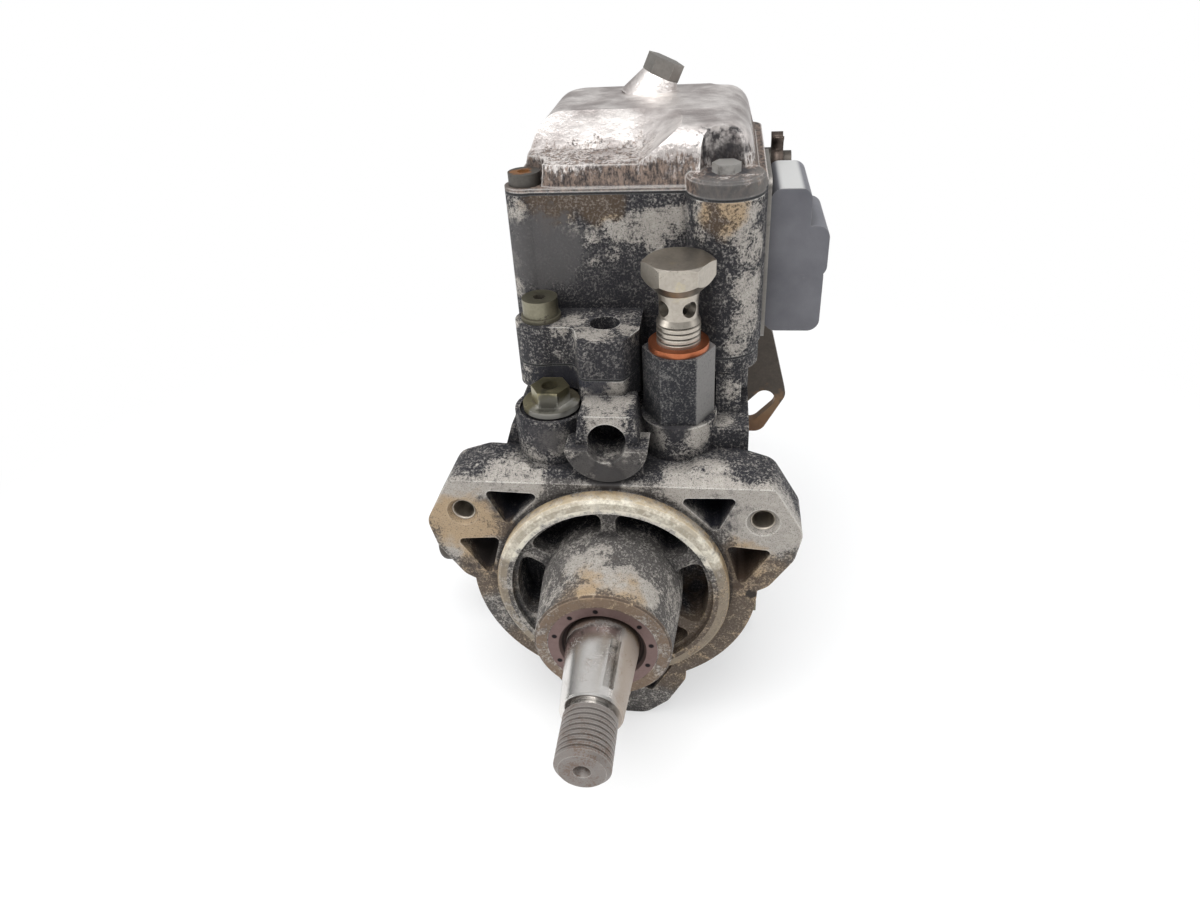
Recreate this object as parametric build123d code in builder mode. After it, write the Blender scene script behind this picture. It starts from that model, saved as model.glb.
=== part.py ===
from build123d import *
import math
import os

# A distributor injection pump for a four cylinder diesel engine, with an electrically set fuel quantity.
# Millimetres. The origin is where the shaft axis meets the flange's mounting face.
# +X is to the right as seen from the drive end, +Y goes back from the drive end, +Z goes up.

# Fits and gaps
running_gap = 0.04
sliding_gap = 0.05
easy_gap = 0.3

# Flange with its three ears
flange_thickness = 15
flange_radius = 42
ear_bolt_circle = 98
ear_hole_radius = 3.4
ear_hole_chamfer = 1.2
ear_tip_radius = 57
ear_tip_half_width = 8.5
ear_shoulder_distance = 50.5
ear_shoulder_half_width = 15.8
ear_root_distance = 39.5
ear_root_half_width = 21.5
ear_corner = 6
ear_count = 3
first_ear_angle = 30
flange_top = 37.5
flange_top_half_width = 40
flange_top_corner = 3
flange_bevel_drop = 2
flange_bevel_depth = 4
window_near = 36
window_far = 47
window_root = 32.2
window_inner_side = 2.6
window_outer_side = 10.3
window_root_side = 18.2
window_corner = 1.4

# Pilot, its spokes and the nose
pilot_radius = 34
pilot_length = 5
pilot_chamfer = 1
pilot_wall = 4.5
spoke_count = 6
spoke_width = 4
spoke_step = 2
pocket_margin = 1.4
pocket_corner = 2.4
pocket_corner_share = 0.4
pocket_floor = 9
nose_length = 21
nose_tip_radius = 18.9
nose_root_radius = 20.5
nose_edge = 0.8

# Pump body behind the flange
body_end = 100
body_left = 34
shoulder_left = 29
shoulder_bend = 30
body_right = 38
body_radius = 36
shoulder_top = 45
shoulder_length = 20
seam_level = 60
cavity_radius = 32
web_thickness = 7
lug_drop = 7
lug_support_x = -12
lug_support_width = 26
column_pad = 4
column_web_x = 32.2
column_web_inset = 2

# Threaded block over the flange
block_hole_radius = 5.2
block_hole_depth = 14
block_boss_radius = 11.3
block_boss_level = 48
block_top = 55.5
block_boss_cut = 1.4
block_boss_length = 10
block_base_width = 20
block_top_width = 14.8
block_corner = 1
block_depth = 12
block_front = 3
block_length = 14
boss_foot_level = 24

# Drive shaft
journal_radius = 10
taper_small_radius = 8.2
taper_length = 22.9
taper_start = 0.4
thread_radius = 7
thread_length = 14.5
relief_radius = 6
relief_length = 1.6
thread_chamfer = 1.2
thread_pitch = 1.5
thread_groove = 0.7
thread_depth = 0.5
thread_turns = 8
centre_drill_radius = 2.2
centre_drill_depth = 3.5
keyway_width = 3
keyway_depth = 1.6
keyway_length = 15
keyway_end_margin = 3
keyway_angle = 60
shaft_disc_radius = 16
shaft_disc_length = 8
claw_width = 8
claw_inner = 9.4
claw_outer = 15.6

# Seal and bush
seal_radius = 15
seal_length = 7
seal_face_opening = 12
seal_shell = 1.4
bush_wall = 2

# Vane feed pump
feed_radius = 28
feed_start = 16
feed_length = 12
feed_rotor_radius = 18.3
feed_bore_radius = 21.3
vane_count = 4
vane_thickness = 3
vane_inner = 11.5
feed_cover_thickness = 4
feed_port_inner = 15.5
feed_port_outer = 20
feed_port_sweep = 80
feed_screw_radius = 2
feed_screw_head_radius = 3.8
feed_screw_head_height = 2.2
feed_screw_distance = 24
feed_screw_angle = 35
feed_screw_bite = 4

# Coupling disc, roller ring and cam plate
disc_start = 50
disc_length = 5.5
ring_inner = 18
ring_length = 10.6
roller_count = 4
roller_radius = 5.5
roller_length = 9
roller_distance = 25
roller_height = 8.2
roller_pin_radius = 2
roller_pin_inner = 18.6
roller_pin_outer = 31.4
roller_side_gap = 0.4
cam_radius = 30.5
cam_inner = 19.8
cam_lift = 2.8
cam_lobe_width = 26
cam_thickness = 6
plunger_foot_radius = 9
plunger_foot_length = 3
plunger_radius = 5
plunger_length = 36
plunger_bore = 1.5
plunger_bore_length = 24
spill_port_radius = 1.2
yoke_thickness = 3.5
yoke_reach = 25.5
yoke_width = 14
yoke_hole_radius = 6
plunger_spring_offset = 19
plunger_spring_radius = 4.6
plunger_spring_wire = 1.2
plunger_spring_turns = 5

# Control collar and the quantity actuator
collar_start = 84
collar_length = 8
collar_radius = 10.5
ball_radius = 3
ball_level = 8.4
collar_slot_depth = 6
eccentric_offset = 4
actuator_shaft_radius = 3
actuator_shaft_top = 97
rotor_radius = 11.3
rotor_flat = 8.4
core_start = 76
core_height = 18
core_half_width = 20
core_front = 57.5
core_back = 101
rail_overlap = 3
core_window_half = 12
core_bridge = 9
pole_bore_gap = 0.5
pole_gap_width = 9
coil_thickness = 3.2
coil_margin = 0.6

# Distributor head
head_spigot = 5
head_flange_length = 10
head_flange_half_width = 34
head_flange_half_height = 31
head_flange_corner = 9
head_radius = 29
head_length = 26
barrel_radius = 13
barrel_front = 3
barrel_end = 15
outlet_count = 4
outlet_circle_radius = 18
outlet_seat_depth = 10
valve_guide_radius = 3
valve_guide_depth = 5
valve_head_radius = 3.7
valve_head_length = 5
holder_thread_radius = 7
holder_hex = 14
holder_hex_length = 8
holder_stem_radius = 6
holder_stem_length = 15
holder_bore_radius = 4.2
holder_bore_length = 22
holder_outlet_radius = 1.2
holder_cone_radius = 3.2
holder_cone_depth = 3
delivery_spring_radius = 3.1
delivery_spring_wire = 0.5
delivery_spring_turns = 6
plug_radius = 8
plug_hex = 15
plug_hex_length = 6
plug_tip_hex = 8
plug_tip_length = 4

# Shut-off valve on the distributor head
shutoff_distance = 20
shutoff_boss_radius = 12
shutoff_boss_top = 32
shutoff_thread_radius = 9
shutoff_thread_length = 8
shutoff_hex = 24
shutoff_hex_length = 7
shutoff_can_radius = 11
shutoff_can_length = 26
shutoff_terminal_radius = 2.5
shutoff_terminal_length = 9
armature_radius = 4
armature_length = 22
armature_foot = 14.2
shutoff_spring_wire = 0.7
shutoff_spring_turns = 5
shutoff_spring_length = 12

# Timing device under the pump body
timing_distance = 55.3
timing_level = -44
timing_bore_radius = 9.5
timing_half_length = 36
timing_block_top = -28
timing_block_half = 17.5
timing_block_bottom = -ear_tip_radius
timing_block_corner = 5
timing_travel = 9
timing_piston_left = 22
timing_piston_right = 16
timing_ball_radius = 4
timing_neck_radius = 2.6
timing_spring_wire = 1.4
timing_spring_radius = 6.5
timing_spring_turns = 4
timing_cover_thickness = 5
timing_screw_distance = 13.4
timing_screw_radius = 2
timing_screw_length = 12
timing_screw_head_radius = 3.6
timing_screw_head_height = 3.6
timing_valve_distance = 44
timing_valve_level = -22
timing_valve_radius = 8
timing_valve_reach = 68.5
timing_valve_nut = 14
timing_valve_nut_length = 5

# Actuator housing on top
housing_left = 28
housing_right = 41
housing_front = 36
housing_back = 108
housing_wall = 4
housing_corner = 5
gasket_thickness = 0.8
cover_seam_level = 104
foot_thickness = 11
foot_screw_x = -20.5
foot_screw_y = 29.6
foot_screw_boss = 7.4
foot_web_reach = 6.6
foot_bend_x = -10.5
lug_hole_x = -2
lug_hole_y = 26
lug_hole_radius = 4.2
lug_front = 14
lug_left = -8
lug_right = 7.8
lug_front_right = 3.8
lug_shoulder = 22
lug_corner = 2.5
column_x = 30
column_y = 37.5
column_radius = 10.3
column_rim_height = 4.2
column_rim_edge = 0.7
cover_screw_left_x = -24
cover_screw_left_y = 41.2
cover_screw_boss = 5.6
cover_screw_back_y = 101.5
bearing_boss_radius = 7
bearing_boss_length = 12
mechanism_opening_half = 9
mechanism_opening_front = 80
mechanism_opening_back = 96
rail_height = 6
cover_rim = 1
cover_height = 13.6
cover_draft = 15
cover_inset = 0.8
cover_side_inset = 2.2
cover_corner = 13
cover_wall = 3.2
cover_round = 7
cover_hollow_side = 16
cover_hollow_end = 12
cover_pocket_gap = 1.4
shelf_level = 111
shelf_slope_start = 52
shelf_slope_end = 67
shelf_right = 7
shelf_rise = 12
cover_pocket_radius = 6.8
neck_x = 6.2
neck_y = 92
neck_level = 116
neck_root_radius = 9.5
neck_tip_radius = 5.6
neck_length = 8
neck_lean = 27
neck_back_lean = 4
return_plug_hex = 10
return_plug_length = 5

# Six-lobe cap screws of the housings
screw_radius = 2.9
screw_length = 22
screw_head_radius = 5
screw_flange_radius = 5.6
screw_flange_height = 1.2
screw_head_height = 6.2
screw_socket_radius = 1.9
screw_socket_depth = 3
cover_screw_radius = 2.4
cover_screw_length = 18
cover_screw_head_radius = 4.4
cover_screw_head_height = 3.4
column_bolt_hex = 6.5
column_bolt_head = 2.4
head_screw_x = 27
head_screw_z = 23

# Inlet: hexagon union, washer and hollow bolt
union_x = 18.5
union_y = 20
union_hex = 17
union_foot = 48
union_top = 68
union_thread_radius = 7
union_thread_length = 10
union_bore_radius = 5
inlet_boss_radius = 10.6
washer_radius = 8.15
washer_thickness = 1.6
union_turn = 3
inlet_shank_radius = 5.9
inlet_shank_length = 14.4
inlet_thread_length = 9
inlet_thread_turns = 4
inlet_waist_radius = 5.2
inlet_waist_start = 7.6
inlet_waist_end = 12
inlet_collar_radius = 5.6
inlet_head_hex = 16.6
inlet_head_height = 8.4
inlet_head_cone = 4
inlet_head_edge = 0.6
inlet_bore_radius = 2.6
inlet_port_radius = 2.2
inlet_port_level = 10.6
inlet_port_angle = 39

# Pressure valve
valve_x = -17
valve_y = 16.6
valve_boss_radius = 10.4
valve_groove_inset = 0.5
valve_groove_width = 1.6
valve_groove_depth = 1.2
valve_boss_top = 51
valve_body_radius = 6
valve_body_length = 22
valve_flange_radius = 8
valve_flange_thickness = 1.6
valve_hex = 9.5
valve_hex_height = 4.6
valve_bore_radius = 3.5
valve_top_hole_radius = 2.4
valve_socket_depth = 5
valve_piston_length = 8
valve_spring_wire = 0.6
valve_spring_turns = 4

# Connector, stub pipe and bracket
connector_plate_thickness = 1.6
connector_front = 55
connector_back = 84
connector_plate_margin = 4
connector_top = 99.3
connector_step = 88.5
connector_waist = 73
connector_bottom = 56
connector_upper_reach = 11.6
connector_drum_reach = 17.2
connector_lower_reach = 16.4
connector_corner = 4
connector_socket_depth = 14
connector_socket_wall = 2.4
connector_socket_floor = 4
connector_pin_length = 8
connector_pin_width = 1.2
pipe_y = 90
pipe_level = 96.9
pipe_radius = 3.8
pipe_bore_radius = 2.5
pipe_reach = 50
pipe_collar_radius = 4.8
pipe_collar_reach = 4
bracket_thickness = 4
bracket_slot_length = 16
bracket_slot_width = 8
bracket_slot_x = 45
bracket_slot_z = -3
bracket_slot_angle = 47
bracket_corner = 5
bracket_top = 32
bracket_bottom = -31
bracket_inner = 20
bracket_top_right = 48.5
bracket_tip_x = 56
bracket_tip_z = 2
bracket_low_x = 47
bracket_low_z = -15
bracket_waist_x = 38
bracket_foot_x = 34

# Small parts: counts, first angles, rounds and overlaps
spring_wire_sides = 6
outlet_first_angle = 45
roller_first_angle = 45
vane_first_angle = 45
spoke_first_angle = 30
coupling_slot_count = 4
foot_overlap = 4
support_bite = 3
support_bend = 6
lug_hole_runout = 5
timing_valve_seat = -body_left - 4
timing_valve_boss_length = 14
timing_valve_round = 2.5
timing_slot_overlap = 4
timing_pin_margin = 3
timing_ball_relief = 2.4
timing_spring_bite = 6
timing_cover_lip = 3.5
timing_cover_disc_lip = 4
timing_cover_round = 1.2
timing_screw_socket_radius = 1.6
timing_screw_socket_depth = 2
feed_tip_gap = 0.1
roller_chamfer = 0.5
yoke_hub_wall = 3
collar_slot_travel = 2.4
collar_slot_play = 0.3
head_trim = 8
barrel_run_in = 3
valve_head_chamfer = 0.8
shutoff_spring_inset = 1.2
bearing_web_thickness = 5
gasket_inset = 6
shelf_run_out = 0.5
shelf_overrun = 0.1
core_corner = 3
pole_gap_shift = 4
pole_back_inset = 3
coil_corner = 0.8 * coil_thickness
rotor_disc_drop = 3
rotor_disc_thickness = 3
rotor_disc_lip = 2.6
rotor_end_gap = 0.5
ball_neck_step = 1.1
connector_plate_corner = 3
connector_edge_round = connector_corner - 0.4
connector_web = 4
connector_pin_columns = 2
connector_pin_rows = 5


def facing(y):
    """Plane square to the shaft axis, y behind the mounting face, seen from the drive end."""
    return Plane(origin=(0, y, 0), x_dir=(1, 0, 0), z_dir=(0, -1, 0))


def across(x):
    """Plane square to X, whose local axes are Y and Z."""
    return Plane(origin=(x, 0, 0), x_dir=(0, 1, 0), z_dir=(1, 0, 0))


def level(z):
    """Plane square to Z."""
    return Plane.XY.offset(z)


def tied(angle, distance):
    """Point on a circle round the shaft axis, as seen from the drive end."""
    return (distance * math.cos(math.radians(angle)), distance * math.sin(math.radians(angle)))


def coil_spring(origin, direction, radius, wire, turns, length):
    """Round wire helix from origin along direction, as long as its space."""
    rise = length - 2 * wire
    start = Vector(*origin) + Vector(*direction) * wire
    with BuildPart() as spring:
        with BuildLine():
            path = Helix(pitch=rise / turns, height=rise, radius=radius, center=start, direction=direction)
        with BuildSketch(Plane(origin=path @ 0, z_dir=path % 0)):
            RegularPolygon(radius=wire, side_count=spring_wire_sides)
        sweep(path=path, is_frenet=True)
    return spring.part


def save(part, name):
    """Label a piece and write it to its own file."""
    part.label = name
    export_step(part, f"parts/{name}.step")


os.makedirs("parts", exist_ok=True)

# Places that follow from the sizes above
pilot_front = -pilot_length
nose_front = pilot_front - nose_length
pocket_width = pilot_radius - pilot_wall - pocket_margin - nose_root_radius - sliding_gap
ear_hole_distance = ear_bolt_circle / 2
ear_angles = [first_ear_angle + 360 / ear_count * number for number in range(ear_count)]
feed_end = feed_start + feed_length
feed_cover_end = feed_end + feed_cover_thickness
disc_end = disc_start + disc_length
ring_start = disc_start
ring_end = ring_start + ring_length
roller_centre = ring_start + roller_height
crest = roller_centre + roller_radius + sliding_gap
valley = crest + cam_lift
cam_back = valley + cam_thickness
foot_end = cam_back + plunger_foot_length
yoke_start = foot_end + sliding_gap
yoke_end = yoke_start + yoke_thickness
head_front = body_end
head_face = head_front + head_flange_length
head_back = head_front + head_length
barrel_start = head_front - barrel_front
barrel_back = head_front + barrel_end
plunger_end = foot_end + plunger_length
shaft_disc_start = 36
shaft_disc_end = shaft_disc_start + shaft_disc_length
taper_root = nose_front + taper_start
taper_tip = taper_root - taper_length
thread_start = taper_tip - relief_length
shaft_tip = thread_start - thread_length
collar_centre = collar_start + collar_length / 2
foot_top = seam_level + gasket_thickness + foot_thickness
housing_base = seam_level + gasket_thickness
cover_base = cover_seam_level + gasket_thickness
inlet_seat = union_top + washer_thickness
outlet_angles = [outlet_first_angle + 360 / outlet_count * number for number in range(outlet_count)]
roller_angles = [roller_first_angle + 360 / roller_count * number for number in range(roller_count)]
timing_screws = [timing_distance - timing_screw_distance, timing_distance + timing_screw_distance]
foot_screws = [(foot_screw_x, foot_screw_y)]
cover_screws_flat = [
    (cover_screw_left_x, cover_screw_left_y),
    (cover_screw_left_x, cover_screw_back_y),
    (column_x, cover_screw_back_y),
]
head_screws = [(x, z) for x in (-head_screw_x, head_screw_x) for z in (-head_screw_z, head_screw_z)]
bracket_side_screws = [point for point in head_screws if point[0] > 0]

# Pump housing: flange, pilot, nose, body, bosses and the timing block, in one casting.
with BuildPart() as pump_housing:
    # Flange outline: a round plate, three ears and a straight top edge.
    with BuildSketch(facing(0)):
        Circle(flange_radius)
        with Locations((0, flange_top + flange_radius)):
            Rectangle(2 * flange_radius, 2 * flange_radius, mode=Mode.SUBTRACT)
        with BuildLine():
            FilletPolyline(
                (-flange_top_half_width, 0),
                (-flange_top_half_width, flange_top),
                (flange_top_half_width, flange_top),
                (flange_top_half_width, 0),
                radius=flange_top_corner,
                close=True,
            )
        make_face()
        for angle in ear_angles:
            with BuildLine(Location((0, 0, 0), (0, 0, angle))):
                FilletPolyline(
                    (0, -ear_root_half_width),
                    (ear_root_distance, -ear_root_half_width),
                    (ear_shoulder_distance, -ear_shoulder_half_width),
                    (ear_tip_radius, -ear_tip_half_width),
                    (ear_tip_radius, ear_tip_half_width),
                    (ear_shoulder_distance, ear_shoulder_half_width),
                    (ear_root_distance, ear_root_half_width),
                    (0, ear_root_half_width),
                    radius=ear_corner,
                    close=True,
                )
            make_face()
    extrude(amount=-flange_thickness)
    # The front of the top edge is bevelled.
    with BuildSketch(across(-ear_tip_radius)):
        with BuildLine():
            Polyline(
                (-flange_bevel_depth, flange_top - 2 * flange_bevel_drop),
                (3 * flange_bevel_depth, flange_top + 2 * flange_bevel_drop),
                (-flange_bevel_depth, flange_top + 2 * flange_bevel_drop),
                close=True,
            )
        make_face()
    extrude(amount=2 * ear_tip_radius, mode=Mode.SUBTRACT)

    # Body: round below the shaft axis, straight sided above it, with its upper left corner cut back.
    with BuildSketch(facing(flange_thickness)):
        Circle(body_radius)
        with BuildLine():
            Polyline(
                (-body_left, 0),
                (body_right, 0),
                (body_right, shoulder_top),
                (-shoulder_left, shoulder_top),
                (-body_left, shoulder_bend),
                close=True,
            )
        make_face()
    extrude(amount=-(body_end - flange_thickness))
    with BuildSketch(level(shoulder_top)):
        with Locations(((body_right - shoulder_left) / 2, (housing_front + body_end) / 2)):
            RectangleRounded(shoulder_left + body_right, body_end - housing_front, housing_corner)
    extrude(amount=seam_level - shoulder_top)
    # Lug under the actuator housing's foot, drawn again for the foot itself.
    with BuildSketch(level(seam_level - lug_drop)) as lug_outline:
        with Locations((foot_screw_x, foot_screw_y)):
            Circle(foot_screw_boss)
        with BuildLine():
            FilletPolyline(
                (foot_screw_x, foot_screw_y - foot_web_reach),
                (foot_bend_x, foot_screw_y - foot_web_reach),
                (lug_left, lug_front),
                (lug_front_right, lug_front),
                (lug_right, lug_shoulder),
                (lug_right, housing_front + foot_overlap),
                (foot_screw_x, housing_front + foot_overlap),
                radius=lug_corner,
                close=True,
            )
        make_face()
    extrude(amount=lug_drop)
    # Pad under the actuator housing's column
    with BuildSketch(level(seam_level - column_pad)):
        with Locations((column_x, column_y)):
            Circle(column_radius)
    extrude(amount=column_pad)
    # Sloping support from the shoulder to the lug, and a web under the column, to the right of the inlet
    column_web_front = column_y - column_radius + column_web_inset
    for support_x, support_width, support_top, support_front in (
        (lug_support_x, lug_support_width, seam_level - lug_drop, housing_front),
        (column_web_x, web_thickness, seam_level, column_web_front),
    ):
        with BuildSketch(across(support_x - support_width / 2)):
            with BuildLine():
                Polyline(
                    (flange_thickness - support_bite, boss_foot_level),
                    (flange_thickness - support_bite, flange_top - support_bend),
                    (flange_thickness + support_bend, flange_top),
                    (support_front, support_top),
                    (housing_front + support_bend, support_top),
                    (housing_front + support_bend, boss_foot_level),
                    close=True,
                )
            make_face()
        extrude(amount=support_width)

    # Timing block across the bottom, with round lower edges.
    with BuildSketch(across(-timing_half_length)):
        with BuildLine():
            FilletPolyline(
                (timing_distance - timing_block_half, timing_block_bottom),
                (timing_distance + timing_block_half, timing_block_bottom),
                (timing_distance + timing_block_half, timing_block_top),
                (timing_distance - timing_block_half, timing_block_top),
                radius=timing_block_corner,
                close=True,
            )
        make_face()
    extrude(amount=2 * timing_half_length)
    # Boss of the timing valve, on the left
    with BuildSketch(across(timing_valve_seat)):
        with Locations((timing_valve_distance, timing_valve_level)):
            Circle(timing_valve_radius)
    extrude(amount=timing_valve_boss_length)

    # Pilot rim and nose
    with BuildSketch(Plane.YZ):
        with BuildLine():
            Polyline(
                (flange_thickness, 0),
                (pilot_front, 0),
                (nose_front, 0),
                (nose_front, nose_tip_radius - nose_edge),
                (nose_front + nose_edge, nose_tip_radius),
                (pilot_front, nose_root_radius),
                (pocket_floor, nose_root_radius + 1),
                (pocket_floor, pilot_radius),
                (flange_thickness, pilot_radius),
                close=True,
            )
        make_face()
    revolve(axis=Axis.Y)
    # Rim of the pilot, chamfered at its front
    with BuildSketch(Plane.YZ):
        with BuildLine():
            Polyline(
                (pilot_front, 0),
                (pilot_front, pilot_radius - pilot_chamfer),
                (pilot_front + pilot_chamfer, pilot_radius),
                (0, pilot_radius),
                (0, 0),
                close=True,
            )
        make_face()
    revolve(axis=Axis.Y)
    # Six round-cornered pockets between the nose and the rim leave the spokes standing.
    with BuildSketch(facing(pilot_front - 1)):
        Circle(pilot_radius - pilot_wall - pocket_margin)
        Circle(nose_root_radius + sliding_gap, mode=Mode.SUBTRACT)
        with PolarLocations(0, spoke_count, start_angle=spoke_first_angle):
            with Locations((pilot_radius / 2, 0)):
                Rectangle(pilot_radius, spoke_width, mode=Mode.SUBTRACT)
        fillet(vertices(), min(pocket_corner, pocket_corner_share * pocket_width))
    extrude(amount=-(pocket_floor - pilot_front + 1), mode=Mode.SUBTRACT)
    with BuildSketch(facing(pilot_front - 1)):
        Circle(pilot_radius - pilot_wall)
        Circle(nose_root_radius + sliding_gap, mode=Mode.SUBTRACT)
    extrude(amount=-(spoke_step + 1), mode=Mode.SUBTRACT)

    # Threaded block over the flange, behind the lower half of a round boss
    with BuildSketch(facing(0)):
        with Locations((0, block_boss_level)):
            Circle(block_boss_radius)
        with Locations((0, block_boss_level - block_boss_cut + block_boss_radius)):
            Rectangle(2 * block_boss_radius, 2 * block_boss_radius, mode=Mode.SUBTRACT)
    extrude(amount=-block_boss_length)
    with BuildSketch(facing(block_front)):
        with BuildLine():
            FilletPolyline(
                (-block_base_width / 2, block_boss_level - block_depth),
                (block_base_width / 2, block_boss_level - block_depth),
                (block_top_width / 2, block_top),
                (-block_top_width / 2, block_top),
                radius=block_corner,
                close=True,
            )
        make_face()
    extrude(amount=-block_length)

    # Bosses of the pressure valve and of the inlet
    for boss_x, boss_y, boss_radius, boss_top in (
        (valve_x, valve_y, valve_boss_radius, valve_boss_top),
        (union_x, union_y, inlet_boss_radius, union_foot),
    ):
        with BuildSketch(level(boss_foot_level)):
            with Locations((boss_x, boss_y)):
                Circle(boss_radius)
        extrude(amount=boss_top - boss_foot_level)

    # Ring groove round the pressure valve's flange
    with BuildSketch(level(valve_boss_top)):
        with Locations((valve_x, valve_y)):
            Circle(valve_flange_radius - valve_groove_inset + valve_groove_width)
            Circle(valve_flange_radius - valve_groove_inset, mode=Mode.SUBTRACT)
    extrude(amount=-valve_groove_depth, mode=Mode.SUBTRACT)

    # Ear windows, bolt holes and the chamfers at their mouths
    with BuildSketch(facing(-1)):
        for angle in ear_angles:
            for side in (-1, 1):
                with BuildLine(Location((0, 0, 0), (0, 0, angle))):
                    FilletPolyline(
                        (window_near, side * window_inner_side),
                        (window_far, side * window_outer_side),
                        (window_root, side * window_root_side),
                        radius=window_corner,
                        close=True,
                    )
                make_face()
    extrude(amount=-(flange_thickness + 2), mode=Mode.SUBTRACT)
    for angle in ear_angles:
        with Locations(Plane(origin=(tied(angle, ear_hole_distance)[0], 0, tied(angle, ear_hole_distance)[1]),
                             x_dir=(1, 0, 0), z_dir=(0, -1, 0))):
            CounterSinkHole(ear_hole_radius, ear_hole_radius + ear_hole_chamfer, depth=flange_thickness)

    # Bores along the shaft axis, cut as one turned profile
    with BuildSketch(Plane.YZ):
        with BuildLine():
            Polyline(
                (nose_front - 1, 0),
                (nose_front - 1, seal_radius),
                (nose_front + seal_length, seal_radius),
                (nose_front + seal_length, journal_radius + running_gap + bush_wall),
                (feed_start, journal_radius + running_gap + bush_wall),
                (feed_start, feed_radius),
                (feed_cover_end, feed_radius),
                (feed_cover_end, cavity_radius),
                (body_end + 1, cavity_radius),
                (body_end + 1, 0),
                close=True,
            )
        make_face()
    revolve(axis=Axis.Y, mode=Mode.SUBTRACT)

    # Timing bore, and the slot that its ball passes through
    with BuildSketch(across(-timing_half_length - 1)):
        with Locations((timing_distance, timing_level)):
            Circle(timing_bore_radius)
    extrude(amount=2 * timing_half_length + 2, mode=Mode.SUBTRACT)
    with BuildSketch(level(timing_level)):
        with Locations((timing_travel / 2, timing_distance)):
            SlotOverall(timing_travel + 4 * timing_ball_radius, 2 * timing_ball_radius + 2 * easy_gap)
    extrude(amount=-timing_level - cavity_radius + timing_slot_overlap, mode=Mode.SUBTRACT)

    # Opening over the control collar, and the blind holes for screws and fittings
    with BuildSketch(level(0)):
        with Locations((eccentric_offset / 2, (mechanism_opening_front + mechanism_opening_back) / 2)):
            Rectangle(
                2 * mechanism_opening_half + eccentric_offset,
                mechanism_opening_back - mechanism_opening_front,
            )
    extrude(amount=seam_level + 1, mode=Mode.SUBTRACT)
    with BuildSketch(facing(-1)):
        with Locations((0, block_boss_level)):
            Circle(block_hole_radius)
    extrude(amount=-(block_hole_depth + 1), mode=Mode.SUBTRACT)
    with BuildSketch(level(seam_level)):
        with Locations((lug_hole_x, lug_hole_y)):
            Circle(lug_hole_radius)
    extrude(amount=-lug_drop - lug_hole_runout, mode=Mode.SUBTRACT)
    with BuildSketch(level(seam_level)):
        with Locations(*foot_screws):
            Circle(screw_radius)
    extrude(amount=-(screw_length - foot_thickness), mode=Mode.SUBTRACT)
    with BuildSketch(level(union_foot)):
        with Locations((union_x, union_y)):
            Circle(union_thread_radius)
    extrude(amount=-union_thread_length, mode=Mode.SUBTRACT)
    with BuildSketch(level(valve_boss_top)):
        with Locations((valve_x, valve_y)):
            Circle(valve_body_radius)
    extrude(amount=-valve_body_length, mode=Mode.SUBTRACT)
    with BuildSketch(facing(body_end)):
        with Locations(*head_screws):
            Circle(screw_radius)
    extrude(amount=screw_length - head_flange_length, mode=Mode.SUBTRACT)
    with BuildSketch(facing(feed_start)):
        with Locations(*[tied(-90 + turn, feed_screw_distance) for turn in (-feed_screw_angle, feed_screw_angle)]):
            Circle(feed_screw_radius)
    extrude(amount=feed_screw_bite, mode=Mode.SUBTRACT)
    for side in (-1, 1):
        with BuildSketch(across(side * timing_half_length)):
            with Locations(*[(y, timing_level) for y in timing_screws]):
                Circle(timing_screw_radius)
        extrude(amount=-side * (timing_screw_length - timing_cover_thickness), mode=Mode.SUBTRACT)
save(pump_housing.part, "pump_housing")

# Lip seal at the nose: a steel case with its lip on the shaft
with BuildPart() as shaft_seal:
    with BuildSketch(Plane.YZ):
        with BuildLine():
            Polyline(
                (nose_front, seal_face_opening),
                (nose_front, seal_radius),
                (nose_front + seal_length, seal_radius),
                (nose_front + seal_length, seal_radius - seal_shell),
                (nose_front + seal_shell, seal_radius - seal_shell),
                (nose_front + seal_shell + 2, journal_radius + running_gap),
                (nose_front + seal_shell + 1, journal_radius + running_gap),
                close=True,
            )
        make_face()
    revolve(axis=Axis.Y)
save(shaft_seal.part, "shaft_seal")

# Plain bush that carries the shaft
with BuildPart() as shaft_bush:
    with BuildSketch(facing(nose_front + seal_length)):
        Circle(journal_radius + running_gap + bush_wall)
        Circle(journal_radius + running_gap, mode=Mode.SUBTRACT)
    extrude(amount=-(feed_start - nose_front - seal_length))
save(shaft_bush.part, "shaft_bush")

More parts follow.
